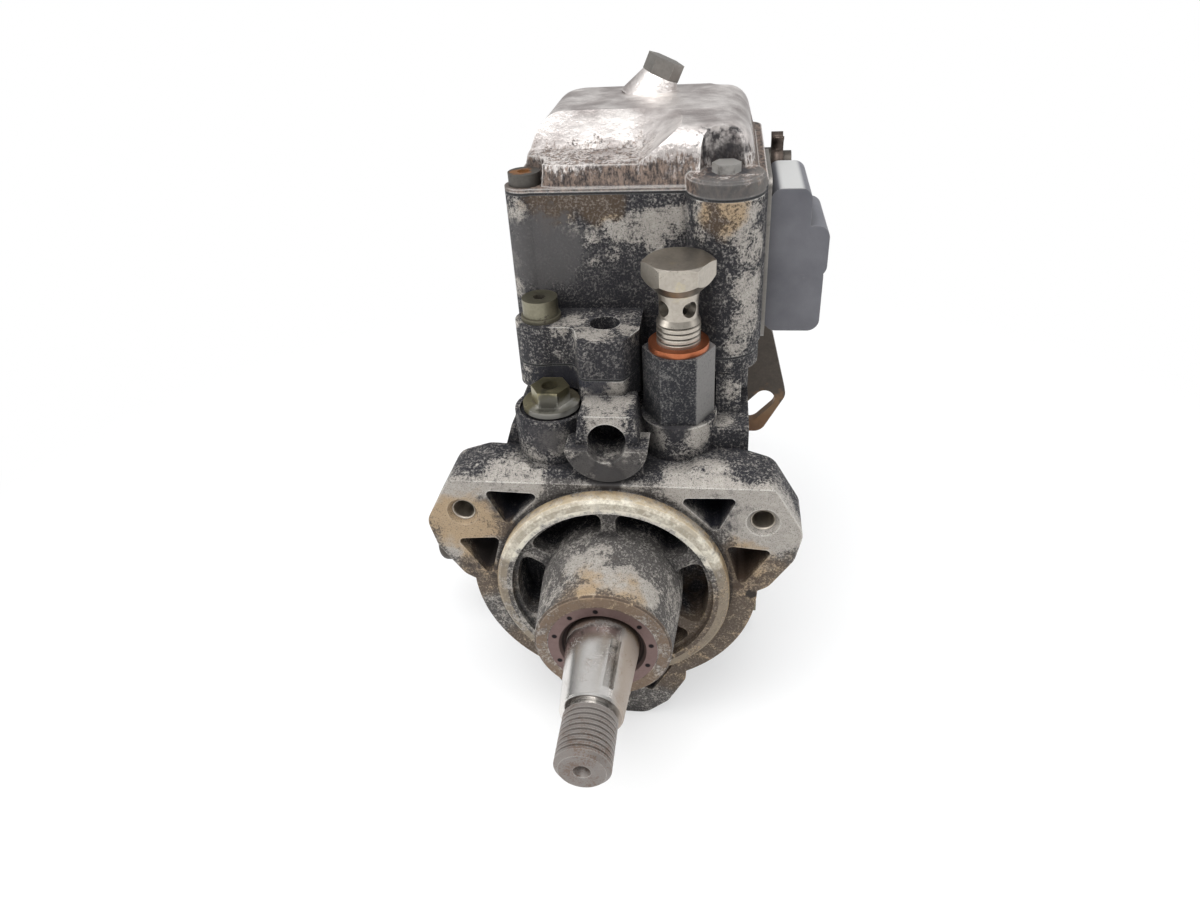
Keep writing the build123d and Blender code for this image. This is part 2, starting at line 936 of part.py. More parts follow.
# Drive shaft: thread, taper with its keyway, journal, and a disc with two claws
thread_crests = [shaft_tip + thread_chamfer + thread_pitch * (turn + 1) for turn in range(thread_turns)]
thread_profile = []
for groove in thread_crests:
    thread_profile.append((groove - thread_groove, thread_radius))
    thread_profile.append((groove - thread_groove / 2, thread_radius - thread_depth))
    thread_profile.append((groove, thread_radius))
with BuildPart() as drive_shaft:
    with BuildSketch(Plane.YZ):
        with BuildLine():
            Polyline(
                (shaft_tip, 0),
                (shaft_tip, thread_radius - thread_chamfer),
                (shaft_tip + thread_chamfer, thread_radius),
                *thread_profile,
                (thread_start, thread_radius),
                (thread_start, relief_radius),
                (taper_tip, relief_radius),
                (taper_tip, taper_small_radius - 0.5),
                (taper_tip + 0.5, taper_small_radius),
                (taper_root, journal_radius),
                (feed_cover_end, journal_radius),
                (shaft_disc_start, journal_radius),
                (shaft_disc_start, shaft_disc_radius),
                (shaft_disc_end, shaft_disc_radius),
                (shaft_disc_end, 0),
                close=True,
            )
        make_face()
    revolve(axis=Axis.Y)
    with BuildSketch(Plane.YZ):
        with BuildLine():
            Polyline(
                (shaft_tip, 0),
                (shaft_tip, centre_drill_radius),
                (shaft_tip + centre_drill_depth, 0),
                close=True,
            )
        make_face()
    revolve(axis=Axis.Y, mode=Mode.SUBTRACT)
    # Keyway in the upper right of the taper, as deep at its front end as behind
    keyway_front = taper_tip + keyway_end_margin
    keyway_out = Vector(tied(keyway_angle, 1)[0], 0, tied(keyway_angle, 1)[1])
    keyway_floor = keyway_out * (taper_small_radius - keyway_depth)
    with BuildSketch(Plane(origin=keyway_floor, x_dir=(0, 1, 0), z_dir=keyway_out)):
        with Locations((keyway_front + keyway_length / 2, 0)):
            Rectangle(keyway_length, keyway_width)
    extrude(amount=journal_radius, mode=Mode.SUBTRACT)
    with BuildSketch(facing(shaft_disc_end)):
        with Locations(*[(side * (claw_inner + claw_outer) / 2, 0) for side in (-1, 1)]):
            Rectangle(claw_outer - claw_inner, claw_width)
    extrude(amount=-(disc_end - shaft_disc_end))
save(drive_shaft.part, "drive_shaft")

# Ring of the vane pump, with its bore off centre
feed_bore_offset = feed_bore_radius - feed_rotor_radius - feed_tip_gap
with BuildPart() as feed_pump_ring:
    with BuildSketch(facing(feed_start)):
        Circle(feed_radius)
        with Locations((0, feed_bore_offset)):
            Circle(feed_bore_radius, mode=Mode.SUBTRACT)
        with Locations(*[tied(-90 + turn, feed_screw_distance) for turn in (-feed_screw_angle, feed_screw_angle)]):
            Circle(feed_screw_radius, mode=Mode.SUBTRACT)
    extrude(amount=-feed_length)
save(feed_pump_ring.part, "feed_pump_ring")

# Vane pump rotor, on the shaft
with BuildPart() as feed_pump_rotor:
    with BuildSketch(facing(feed_start + sliding_gap)):
        Circle(feed_rotor_radius)
        Circle(journal_radius, mode=Mode.SUBTRACT)
        with PolarLocations(0, vane_count, start_angle=vane_first_angle):
            with Locations(((vane_inner + feed_rotor_radius) / 2 + 1, 0)):
                Rectangle(feed_rotor_radius - vane_inner + 2, vane_thickness, mode=Mode.SUBTRACT)
    extrude(amount=-(feed_length - 2 * sliding_gap))
save(feed_pump_rotor.part, "feed_pump_rotor")

# Four vanes, pushed in flush with the rotor
with BuildPart() as feed_pump_vanes:
    with BuildSketch(facing(feed_start + sliding_gap)):
        with PolarLocations(0, vane_count, start_angle=vane_first_angle):
            with Locations(((vane_inner + feed_rotor_radius) / 2 - feed_tip_gap, 0)):
                Rectangle(feed_rotor_radius - vane_inner - 2 * feed_tip_gap, vane_thickness - 2 * running_gap)
    extrude(amount=-(feed_length - 2 * sliding_gap))
save(feed_pump_vanes.part, "feed_pump_vanes")

# Cover plate of the vane pump, with its suction and pressure ports
with BuildPart() as feed_pump_cover:
    with BuildSketch(facing(feed_end)):
        Circle(feed_radius)
        Circle(journal_radius + easy_gap, mode=Mode.SUBTRACT)
        for start in (-feed_port_sweep / 2, 180 - feed_port_sweep / 2):
            with BuildLine():
                inner_arc = CenterArc((0, 0), feed_port_inner, start, feed_port_sweep)
                outer_arc = CenterArc((0, 0), feed_port_outer, start, feed_port_sweep)
                Line(inner_arc @ 0, outer_arc @ 0)
                Line(inner_arc @ 1, outer_arc @ 1)
            make_face(mode=Mode.SUBTRACT)
        with Locations(*[tied(-90 + turn, feed_screw_distance) for turn in (-feed_screw_angle, feed_screw_angle)]):
            Circle(feed_screw_radius, mode=Mode.SUBTRACT)
    extrude(amount=-feed_cover_thickness)
    with BuildSketch(facing(feed_cover_end)):
        with Locations(*[tied(-90 + turn, feed_screw_distance) for turn in (-feed_screw_angle, feed_screw_angle)]):
            Circle(feed_screw_head_radius)
    extrude(amount=feed_screw_head_height, mode=Mode.SUBTRACT)
save(feed_pump_cover.part, "feed_pump_cover")

# Two slotted screws that hold the vane pump together
with BuildPart() as feed_pump_screws:
    for turn in (-feed_screw_angle, feed_screw_angle):
        place = tied(-90 + turn, feed_screw_distance)
        with BuildSketch(facing(feed_cover_end)):
            with Locations(place):
                Circle(feed_screw_head_radius)
        extrude(amount=feed_screw_head_height)
        with BuildSketch(facing(feed_cover_end)):
            with Locations(place):
                Circle(feed_screw_radius)
        extrude(amount=feed_cover_end - feed_start + feed_screw_bite)
        with BuildSketch(facing(feed_cover_end)):
            with Locations(place):
                Rectangle(2 * feed_screw_head_radius, 1)
        extrude(amount=1, mode=Mode.SUBTRACT)
save(feed_pump_screws.part, "feed_pump_screws")

# Coupling disc: four slots take the claws of the shaft and of the cam plate
with BuildPart() as coupling_disc:
    with BuildSketch(facing(disc_start)):
        Circle(claw_outer)
        Circle(claw_inner / 2, mode=Mode.SUBTRACT)
        with PolarLocations(0, coupling_slot_count):
            with Locations((claw_inner - sliding_gap + claw_outer / 2, 0)):
                Rectangle(claw_outer, claw_width + 2 * sliding_gap, mode=Mode.SUBTRACT)
    extrude(amount=-disc_length)
save(coupling_disc.part, "coupling_disc")

# Roller ring: it turns a little in the housing to set the timing
with BuildPart() as roller_ring:
    with BuildSketch(facing(ring_start)):
        Circle(cavity_radius - running_gap)
        Circle(ring_inner, mode=Mode.SUBTRACT)
    extrude(amount=-ring_length)
    with BuildSketch(facing(ring_end)):
        for angle in roller_angles:
            with Locations(Location(tied(angle, roller_distance), angle)):
                Rectangle(roller_length + 2 * roller_side_gap, 2 * (roller_radius + roller_side_gap))
    extrude(amount=roller_radius + roller_side_gap + ring_end - roller_centre, mode=Mode.SUBTRACT)
    for angle in roller_angles:
        outward = (tied(angle, 1)[0], 0, tied(angle, 1)[1])
        start = Vector(0, roller_centre, 0) + Vector(*outward) * roller_pin_inner
        with BuildSketch(Plane(origin=start, x_dir=(0, 1, 0), z_dir=outward)):
            Circle(roller_pin_radius)
        extrude(amount=roller_pin_outer - roller_pin_inner, mode=Mode.SUBTRACT)
    # Tapped hole for the timing pin, at the bottom
    with BuildSketch(level(-cavity_radius)):
        with Locations((0, timing_distance)):
            Circle(timing_neck_radius)
    extrude(amount=cavity_radius - ring_inner - timing_pin_margin, mode=Mode.SUBTRACT)
save(roller_ring.part, "roller_ring")

# Pins of the rollers
with BuildPart() as roller_pins:
    for angle in roller_angles:
        outward = (tied(angle, 1)[0], 0, tied(angle, 1)[1])
        start = Vector(0, roller_centre, 0) + Vector(*outward) * roller_pin_inner
        with BuildSketch(Plane(origin=start, x_dir=(0, 1, 0), z_dir=outward)):
            Circle(roller_pin_radius)
        extrude(amount=roller_pin_outer - roller_pin_inner)
save(roller_pins.part, "roller_pins")

# Four rollers that lift the cam plate
for number, angle in enumerate(roller_angles, start=1):
    outward = (tied(angle, 1)[0], 0, tied(angle, 1)[1])
    start = Vector(0, roller_centre, 0) + Vector(*outward) * (roller_distance - roller_length / 2)
    with BuildPart() as cam_roller:
        with BuildSketch(Plane(origin=start, x_dir=(0, 1, 0), z_dir=outward)):
            Circle(roller_radius)
            Circle(roller_pin_radius + running_gap, mode=Mode.SUBTRACT)
        extrude(amount=roller_length)
        chamfer(edges().filter_by(GeomType.CIRCLE).filter_by(lambda edge: edge.radius > roller_radius - running_gap), roller_chamfer)
    save(cam_roller.part, f"cam_roller_{number}")

# Cam plate at the top of its stroke: four lobes towards the rollers, and two claws
with BuildPart() as cam_plate:
    with BuildSketch(facing(valley)):
        Circle(cam_radius)
    extrude(amount=-cam_thickness)
    for number in range(roller_count):
        angle = 360 / roller_count * number
        outward = (tied(angle, 1)[0], 0, tied(angle, 1)[1])
        # The lobe's profile is a smooth hump, drawn square to the radius and pushed outwards.
        with BuildSketch(Plane(origin=Vector(*outward) * cam_inner, x_dir=(0, -1, 0), z_dir=outward)):
            with BuildLine():
                Spline(
                    (-valley, -cam_lobe_width / 2),
                    (-valley + cam_lift / 2, -cam_lobe_width / 4),
                    (-crest, 0),
                    (-valley + cam_lift / 2, cam_lobe_width / 4),
                    (-valley, cam_lobe_width / 2),
                    tangents=((0, 1), (0, 1)),
                )
                Polyline(
                    (-valley, cam_lobe_width / 2),
                    (-valley - 1, cam_lobe_width / 2),
                    (-valley - 1, -cam_lobe_width / 2),
                    (-valley, -cam_lobe_width / 2),
                )
            make_face()
        extrude(amount=cam_radius - cam_inner)
    with BuildSketch(facing(disc_start)):
        Circle(cam_radius)
    extrude(amount=-(cam_back - disc_start), mode=Mode.INTERSECT)
    with BuildSketch(facing(disc_start + easy_gap)):
        with Locations(*[(0, side * (claw_inner + claw_outer) / 2) for side in (-1, 1)]):
            Rectangle(claw_width, claw_outer - claw_inner)
    extrude(amount=-(valley - disc_start - easy_gap + 1))
save(cam_plate.part, "cam_plate")

# Plunger with its foot, axial bore and ports
with BuildPart() as plunger:
    with BuildSketch(facing(cam_back)):
        Circle(plunger_foot_radius)
    extrude(amount=-plunger_foot_length)
    with BuildSketch(facing(foot_end)):
        Circle(plunger_radius)
    extrude(amount=-plunger_length)
    with BuildSketch(facing(plunger_end)):
        Circle(plunger_bore)
    extrude(amount=plunger_bore_length, mode=Mode.SUBTRACT)
    with BuildSketch(across(-plunger_radius - 1)):
        with Locations((plunger_end - plunger_bore_length + spill_port_radius + 1, 0)):
            Circle(spill_port_radius)
    extrude(amount=2 * plunger_radius + 2, mode=Mode.SUBTRACT)
save(plunger.part, "plunger")

# Yoke that the plunger springs press on; it slides with the plunger but doesn't turn
with BuildPart() as spring_yoke:
    with BuildSketch(facing(yoke_start)):
        SlotOverall(2 * yoke_reach, yoke_width)
        Circle(plunger_foot_radius + yoke_hub_wall)
        Circle(yoke_hole_radius, mode=Mode.SUBTRACT)
    extrude(amount=-yoke_thickness)
save(spring_yoke.part, "spring_yoke")

# Two springs beside the plunger
spring_room = head_front - head_spigot - yoke_end - sliding_gap
plunger_coils = [
    coil_spring((side * plunger_spring_offset, yoke_end + sliding_gap, 0), (0, 1, 0),
                plunger_spring_radius, plunger_spring_wire, plunger_spring_turns, spring_room)
    for side in (-1, 1)
]
save(Compound(children=plunger_coils), "plunger_springs")

# Control collar on the plunger; the slot in its top takes the actuator's ball
with BuildPart() as control_collar:
    with BuildSketch(facing(collar_start)):
        Circle(collar_radius)
        Circle(plunger_radius + running_gap, mode=Mode.SUBTRACT)
    extrude(amount=-collar_length)
    with BuildSketch(level(collar_radius)):
        with Locations((0, collar_centre)):
            SlotOverall(2 * ball_radius + collar_slot_travel, 2 * ball_radius + collar_slot_play)
    extrude(amount=-collar_slot_depth, mode=Mode.SUBTRACT)
save(control_collar.part, "control_collar")

# Distributor head: spigot, flange, round back with four outlets, and the shut-off boss
with BuildPart() as distributor_head:
    with BuildSketch(facing(head_front - head_spigot)):
        Circle(cavity_radius)
    extrude(amount=-head_spigot)
    with BuildSketch(facing(head_front)):
        RectangleRounded(2 * head_flange_half_width, 2 * head_flange_half_height, head_flange_corner)
    extrude(amount=-head_flange_length)
    with BuildSketch(facing(head_face)):
        Circle(head_radius)
    extrude(amount=-(head_back - head_face))
    chamfer(edges().group_by(Axis.Y)[-1], 2)
    shutoff_y = head_front + shutoff_distance
    with BuildSketch(level(0)):
        with Locations((0, shutoff_y)):
            Circle(shutoff_boss_radius)
    extrude(amount=shutoff_boss_top)
    with BuildSketch(facing(head_back + head_trim)):
        Circle(2 * head_radius)
    extrude(amount=head_trim, mode=Mode.SUBTRACT)
    # Barrel bore, and the bore of the plug behind it
    with BuildSketch(facing(barrel_start - barrel_run_in)):
        Circle(barrel_radius)
    extrude(amount=-(barrel_back - barrel_start + barrel_run_in), mode=Mode.SUBTRACT)
    with BuildSketch(facing(barrel_back - 1)):
        Circle(plug_radius)
    extrude(amount=-(head_back - barrel_back + 2), mode=Mode.SUBTRACT)
    for angle in outlet_angles:
        with BuildSketch(facing(head_back + 1)):
            with Locations(tied(angle, outlet_circle_radius)):
                Circle(holder_thread_radius)
        extrude(amount=outlet_seat_depth + 1, mode=Mode.SUBTRACT)
        with BuildSketch(facing(head_back - outlet_seat_depth)):
            with Locations(tied(angle, outlet_circle_radius)):
                Circle(valve_guide_radius)
        extrude(amount=valve_guide_depth, mode=Mode.SUBTRACT)
    with BuildSketch(level(shutoff_boss_top)):
        with Locations((0, shutoff_y)):
            Circle(shutoff_thread_radius)
    extrude(amount=-shutoff_thread_length, mode=Mode.SUBTRACT)
    with BuildSketch(level(shutoff_boss_top)):
        with Locations((0, shutoff_y)):
            Circle(armature_radius + easy_gap)
    extrude(amount=-(shutoff_boss_top - barrel_radius), mode=Mode.SUBTRACT)
    for place in head_screws:
        with BuildSketch(facing(head_face)):
            with Locations(place):
                Circle(screw_radius)
        extrude(amount=head_flange_length, mode=Mode.SUBTRACT)
save(distributor_head.part, "distributor_head")

# Barrel that the plunger works in
with BuildPart() as distributor_barrel:
    with BuildSketch(facing(barrel_start)):
        Circle(barrel_radius)
        Circle(plunger_radius + running_gap, mode=Mode.SUBTRACT)
    extrude(amount=-(barrel_back - barrel_start))
save(distributor_barrel.part, "distributor_barrel")

# Plug that closes the barrel, with a bleed screw in its middle
with BuildPart() as head_plug:
    with BuildSketch(facing(barrel_back)):
        Circle(plug_radius)
    extrude(amount=-(head_back - barrel_back))
    with BuildSketch(facing(head_back)):
        RegularPolygon(plug_hex / 2, 6, major_radius=False)
    extrude(amount=-plug_hex_length)
    with BuildSketch(facing(head_back + plug_hex_length)):
        RegularPolygon(plug_tip_hex / 2, 6, major_radius=False)
    extrude(amount=-plug_tip_length)
save(head_plug.part, "head_plug")

# Four delivery valve holders: hexagon, threaded stem and a cone for the pipe
holder_tip = head_back + holder_hex_length + holder_stem_length
with BuildPart() as delivery_holders:
    for angle in outlet_angles:
        place = tied(angle, outlet_circle_radius)
        with BuildSketch(facing(head_back - outlet_seat_depth)):
            with Locations(place):
                Circle(holder_thread_radius)
        extrude(amount=-outlet_seat_depth)
        with BuildSketch(facing(head_back)):
            with Locations(place):
                RegularPolygon(holder_hex / 2, 6, major_radius=False)
        extrude(amount=-holder_hex_length)
        with BuildSketch(facing(head_back + holder_hex_length)):
            with Locations(place):
                Circle(holder_stem_radius)
        extrude(amount=-holder_stem_length)
        with BuildSketch(facing(head_back - outlet_seat_depth)):
            with Locations(place):
                Circle(holder_bore_radius)
        extrude(amount=-holder_bore_length, mode=Mode.SUBTRACT)
        with BuildSketch(facing(head_back)):
            with Locations(place):
                Circle(holder_outlet_radius)
        extrude(amount=-(holder_tip - head_back), mode=Mode.SUBTRACT)
        with BuildSketch(facing(holder_tip)):
            with Locations(place):
                Circle(holder_cone_radius)
        with BuildSketch(facing(holder_tip - holder_cone_depth)):
            with Locations(place):
                Circle(holder_outlet_radius)
        loft(mode=Mode.SUBTRACT)
save(delivery_holders.part, "delivery_holders")

# Delivery valves, each a guide stem with a head that lifts against its spring
valve_seat = head_back - outlet_seat_depth
for number, angle in enumerate(outlet_angles, start=1):
    place = tied(angle, outlet_circle_radius)
    with BuildPart() as delivery_valve:
        with BuildSketch(facing(valve_seat - valve_guide_depth + sliding_gap)):
            with Locations(place):
                Circle(valve_guide_radius - running_gap)
        extrude(amount=-valve_guide_depth)
        with BuildSketch(facing(valve_seat + sliding_gap)):
            with Locations(place):
                Circle(valve_head_radius)
        extrude(amount=-valve_head_length)
        chamfer(edges().group_by(Axis.Y)[-1], valve_head_chamfer)
    save(delivery_valve.part, f"delivery_valve_{number}")
delivery_spring_seat = valve_seat + sliding_gap + valve_head_length + sliding_gap
delivery_coils = [
    coil_spring((tied(angle, outlet_circle_radius)[0], delivery_spring_seat, tied(angle, outlet_circle_radius)[1]),
                (0, 1, 0), delivery_spring_radius, delivery_spring_wire, delivery_spring_turns,
                valve_seat + holder_bore_length - delivery_spring_seat)
    for angle in outlet_angles
]
save(Compound(children=delivery_coils), "delivery_springs")

# Shut-off valve: a threaded hexagon body with its coil can and terminal
shutoff_hex_end = shutoff_boss_top + shutoff_hex_length
shutoff_can_end = shutoff_hex_end + shutoff_can_length
armature_top = armature_foot + armature_length
with BuildPart() as shutoff_body:
    with BuildSketch(level(shutoff_boss_top - shutoff_thread_length)):
        with Locations((0, shutoff_y)):
            Circle(shutoff_thread_radius)
    extrude(amount=shutoff_thread_length)
    with BuildSketch(level(shutoff_boss_top)):
        with Locations((0, shutoff_y)):
            RegularPolygon(shutoff_hex / 2, 6, major_radius=False)
    extrude(amount=shutoff_hex_length)
    with BuildSketch(level(shutoff_hex_end)):
        with Locations((0, shutoff_y)):
            Circle(shutoff_can_radius)
    extrude(amount=shutoff_can_length)
    chamfer(edges().group_by(Axis.Z)[-1], 2)
    with BuildSketch(level(shutoff_can_end)):
        with Locations((0, shutoff_y)):
            Circle(shutoff_terminal_radius)
    extrude(amount=shutoff_terminal_length)
    with BuildSketch(level(shutoff_boss_top - shutoff_thread_length)):
        with Locations((0, shutoff_y)):
            Circle(armature_radius + sliding_gap)
    extrude(
        amount=armature_top + shutoff_spring_length - shutoff_boss_top + shutoff_thread_length,
        mode=Mode.SUBTRACT,
    )
save(shutoff_body.part, "shutoff_body")

# Shut-off armature with its sealing tip
with BuildPart() as shutoff_armature:
    with BuildSketch(level(armature_foot)):
        with Locations((0, shutoff_y)):
            Circle(armature_radius)
    extrude(amount=armature_length)
    chamfer(edges().group_by(Axis.Z)[0], 1)
save(shutoff_armature.part, "shutoff_armature")
shutoff_coil = coil_spring((0, shutoff_y, armature_top + sliding_gap), (0, 0, 1),
                           armature_radius - shutoff_spring_inset, shutoff_spring_wire, shutoff_spring_turns,
                           shutoff_spring_length - sliding_gap)
save(shutoff_coil, "shutoff_spring")

# Timing piston, which pushes the roller ring round through the pin's ball
with BuildPart() as timing_piston:
    with BuildSketch(across(-timing_piston_left)):
        with Locations((timing_distance, timing_level)):
            Circle(timing_bore_radius - running_gap)
    extrude(amount=timing_piston_left + timing_piston_right)
    with BuildSketch(level(timing_level - timing_ball_radius - 2)):
        with Locations((0, timing_distance)):
            Circle(timing_ball_radius + easy_gap)
    extrude(amount=2 * timing_bore_radius, mode=Mode.SUBTRACT)
    with BuildSketch(level(timing_level + timing_ball_radius)):
        with Locations((0, timing_distance)):
            Circle(timing_ball_radius + timing_ball_relief)
    extrude(amount=timing_bore_radius, mode=Mode.SUBTRACT)
    with BuildSketch(across(timing_piston_right)):
        with Locations((timing_distance, timing_level)):
            Circle(timing_spring_radius + timing_spring_wire + easy_gap)
    extrude(amount=-timing_spring_bite, mode=Mode.SUBTRACT)
save(timing_piston.part, "timing_piston")

# Pin screwed into the roller ring, with its ball in the piston
with BuildPart() as timing_pin:
    with BuildSketch(level(timing_level)):
        with Locations((0, timing_distance)):
            Circle(timing_neck_radius)
    extrude(amount=-timing_level - ring_inner - timing_pin_margin)
    with Locations((0, timing_distance, timing_level)):
        Sphere(timing_ball_radius)
save(timing_pin.part, "timing_pin")
timing_coil = coil_spring((timing_piston_right - timing_spring_bite, timing_distance, timing_level), (1, 0, 0),
                          timing_spring_radius, timing_spring_wire, timing_spring_turns,
                          timing_half_length - timing_piston_right + timing_spring_bite)
save(timing_coil, "timing_spring")

# Covers at both ends of the timing bore
for side, name in ((-1, "timing_cover_left"), (1, "timing_cover_right")):
    with BuildPart() as timing_cover:
        with BuildSketch(across(side * timing_half_length)):
            with Locations((timing_distance, timing_level)):
                SlotOverall(2 * timing_block_half, 2 * (timing_bore_radius + timing_cover_lip))
                Circle(timing_bore_radius + timing_cover_disc_lip)
        extrude(amount=side * timing_cover_thickness)
        outer_face = faces().sort_by(Axis.X)[-1 if side > 0 else 0]
        fillet(outer_face.edges(), timing_cover_round)
        with BuildSketch(across(side * timing_half_length)):
            with Locations(*[(y, timing_level) for y in timing_screws]):
                Circle(timing_screw_radius)
        extrude(amount=side * timing_cover_thickness, mode=Mode.SUBTRACT)
    save(timing_cover.part, name)

# Screws of the timing covers
with BuildPart() as timing_cover_screws:
    for side in (-1, 1):
        for y in timing_screws:
            outer = side * (timing_half_length + timing_cover_thickness)
            with BuildSketch(across(outer)):
                with Locations((y, timing_level)):
                    Circle(timing_screw_head_radius)
            extrude(amount=side * timing_screw_head_height)
            with BuildSketch(across(outer)):
                with Locations((y, timing_level)):
                    Circle(timing_screw_radius)
            extrude(amount=-side * timing_screw_length)
            with BuildSketch(across(outer + side * timing_screw_head_height)):
                with Locations((y, timing_level)):
                    RegularPolygon(timing_screw_socket_radius, 6)
            extrude(amount=-side * timing_screw_socket_depth, mode=Mode.SUBTRACT)
save(timing_cover_screws.part, "timing_cover_screws")

# Timing valve: a capped coil can on a nut, at the left of the housing
with BuildPart() as timing_valve:
    with BuildSketch(across(timing_valve_seat)):
        with Locations((timing_valve_distance, timing_valve_level)):
            RegularPolygon(timing_valve_nut / 2, 6, major_radius=False)
    extrude(amount=-timing_valve_nut_length)
    with BuildSketch(across(timing_valve_seat - timing_valve_nut_length)):
        with Locations((timing_valve_distance, timing_valve_level)):
            Circle(timing_valve_radius)
    extrude(amount=-(timing_valve_reach + timing_valve_seat - timing_valve_nut_length))
    fillet(edges().group_by(Axis.X)[0], timing_valve_round)
save(timing_valve.part, "timing_valve")

# Outline of the actuator housing, its gasket and its cover
middle_x = (housing_right - housing_left) / 2
middle_y = (housing_front + housing_back) / 2
width = housing_left + housing_right
depth = housing_back - housing_front
height = cover_seam_level - housing_base
with BuildSketch() as housing_outline:
    with Locations((middle_x, middle_y)):
        RectangleRounded(width, depth, housing_corner)
    with Locations((column_x, column_y)):
        Circle(column_radius)
    with Locations(*cover_screws_flat):
        Circle(cover_screw_boss)

# Actuator housing: a box with a forward foot, a column at the front right and screw bosses inside
with BuildPart() as actuator_housing:
    with BuildSketch(level(housing_base)):
        add(housing_outline.sketch.moved(Location((0, 0, housing_base))))
    extrude(amount=height)
    with BuildSketch(level(housing_base)):
        add(lug_outline.sketch.moved(Location((0, 0, housing_base - seam_level + lug_drop))))
    extrude(amount=foot_thickness)
    # The hollow leaves the walls, the floor round the bearing boss, and the screw bosses.
    with BuildSketch(level(housing_base + housing_wall)):
        with Locations((middle_x, middle_y)):
            RectangleRounded(width - 2 * housing_wall, depth - 2 * housing_wall, housing_corner - 1)
        with Locations((column_x, column_y)):
            Circle(column_radius - 1, mode=Mode.SUBTRACT)
        with Locations(*cover_screws_flat):
            Circle(cover_screw_boss, mode=Mode.SUBTRACT)
    extrude(amount=height, mode=Mode.SUBTRACT)
    # Rails under the actuator core
    core_left = eccentric_offset - core_half_width
    core_right = eccentric_offset + core_half_width
    for low, high in ((-housing_left, core_left + rail_overlap), (core_right - rail_overlap, housing_right)):
        with BuildSketch(level(core_start - rail_height)):
            with Locations(((low + high) / 2, (core_front + core_back) / 2)):
                Rectangle(high - low, core_back - core_front)
        extrude(amount=rail_height)
    # Floor opening round the actuator shaft, and the boss that carries it on a bridge
    with BuildSketch(level(housing_base - 1)):
        with Locations((eccentric_offset / 2, (mechanism_opening_front + mechanism_opening_back) / 2)):
            Rectangle(
                2 * mechanism_opening_half + eccentric_offset,
                mechanism_opening_back - mechanism_opening_front,
            )
    extrude(amount=housing_wall + 1, mode=Mode.SUBTRACT)
    with BuildSketch(level(housing_base)):
        with Locations((eccentric_offset, collar_centre)):
            Circle(bearing_boss_radius)
            Rectangle(4 * bearing_boss_radius, bearing_web_thickness)
    extrude(amount=housing_wall)
    with BuildSketch(level(housing_base)):
        with Locations((eccentric_offset, collar_centre)):
            Circle(bearing_boss_radius)
    extrude(amount=bearing_boss_length)
    with BuildSketch(level(housing_base - 1)):
        with Locations((eccentric_offset, collar_centre)):
            Circle(actuator_shaft_radius + running_gap)
    extrude(amount=bearing_boss_length + 2, mode=Mode.SUBTRACT)
    # Screw holes: foot, lug, and the cover's screws from above
    with BuildSketch(level(housing_base)):
        with Locations(*foot_screws):
            Circle(screw_radius)
        with Locations((lug_hole_x, lug_hole_y)):
            Circle(lug_hole_radius)
    extrude(amount=foot_thickness, mode=Mode.SUBTRACT)
    with BuildSketch(level(cover_seam_level)):
        with Locations((column_x, column_y), *cover_screws_flat):
            Circle(cover_screw_radius)
    extrude(amount=-(cover_screw_length - cover_rim - gasket_thickness), mode=Mode.SUBTRACT)
    with BuildSketch(across(housing_right - housing_wall - 1)):
        with Locations((pipe_y, pipe_level)):
            Circle(pipe_radius)
    extrude(amount=housing_wall + 2, mode=Mode.SUBTRACT)
save(actuator_housing.part, "actuator_housing")

# Gasket between the pump housing and the actuator housing
with BuildPart() as actuator_gasket:
    with BuildSketch(level(seam_level)):
        with Locations(((body_right - body_left) / 2, (housing_front + body_end) / 2)):
            RectangleRounded(2 * (body_left - gasket_inset), body_end - housing_front, housing_corner)
        with Locations((column_x, column_y)):
            Circle(column_radius)
        add(lug_outline.sketch.moved(Location((0, 0, lug_drop))))
        with Locations((eccentric_offset / 2, (mechanism_opening_front + mechanism_opening_back) / 2)):
            Rectangle(
                2 * mechanism_opening_half + eccentric_offset,
                mechanism_opening_back - mechanism_opening_front,
                mode=Mode.SUBTRACT,
            )
        with Locations(*foot_screws):
            Circle(screw_radius, mode=Mode.SUBTRACT)
        with Locations((lug_hole_x, lug_hole_y)):
            Circle(lug_hole_radius, mode=Mode.SUBTRACT)
    extrude(amount=gasket_thickness)
save(actuator_gasket.part, "actuator_gasket")

# Gasket under the cover
with BuildPart() as cover_gasket:
    with BuildSketch(level(cover_seam_level)):
        add(housing_outline.sketch.moved(Location((0, 0, cover_seam_level))))
        with Locations((middle_x, middle_y)):
            RectangleRounded(
                width - 2 * housing_wall, depth - 2 * housing_wall, housing_corner - 1, mode=Mode.SUBTRACT
            )
        with Locations((column_x, column_y)):
            Circle(column_radius - 1)
        with Locations(*cover_screws_flat):
            Circle(cover_screw_boss)
        with Locations((column_x, column_y), *cover_screws_flat):
            Circle(cover_screw_radius, mode=Mode.SUBTRACT)
    extrude(amount=gasket_thickness)
save(cover_gasket.part, "cover_gasket")

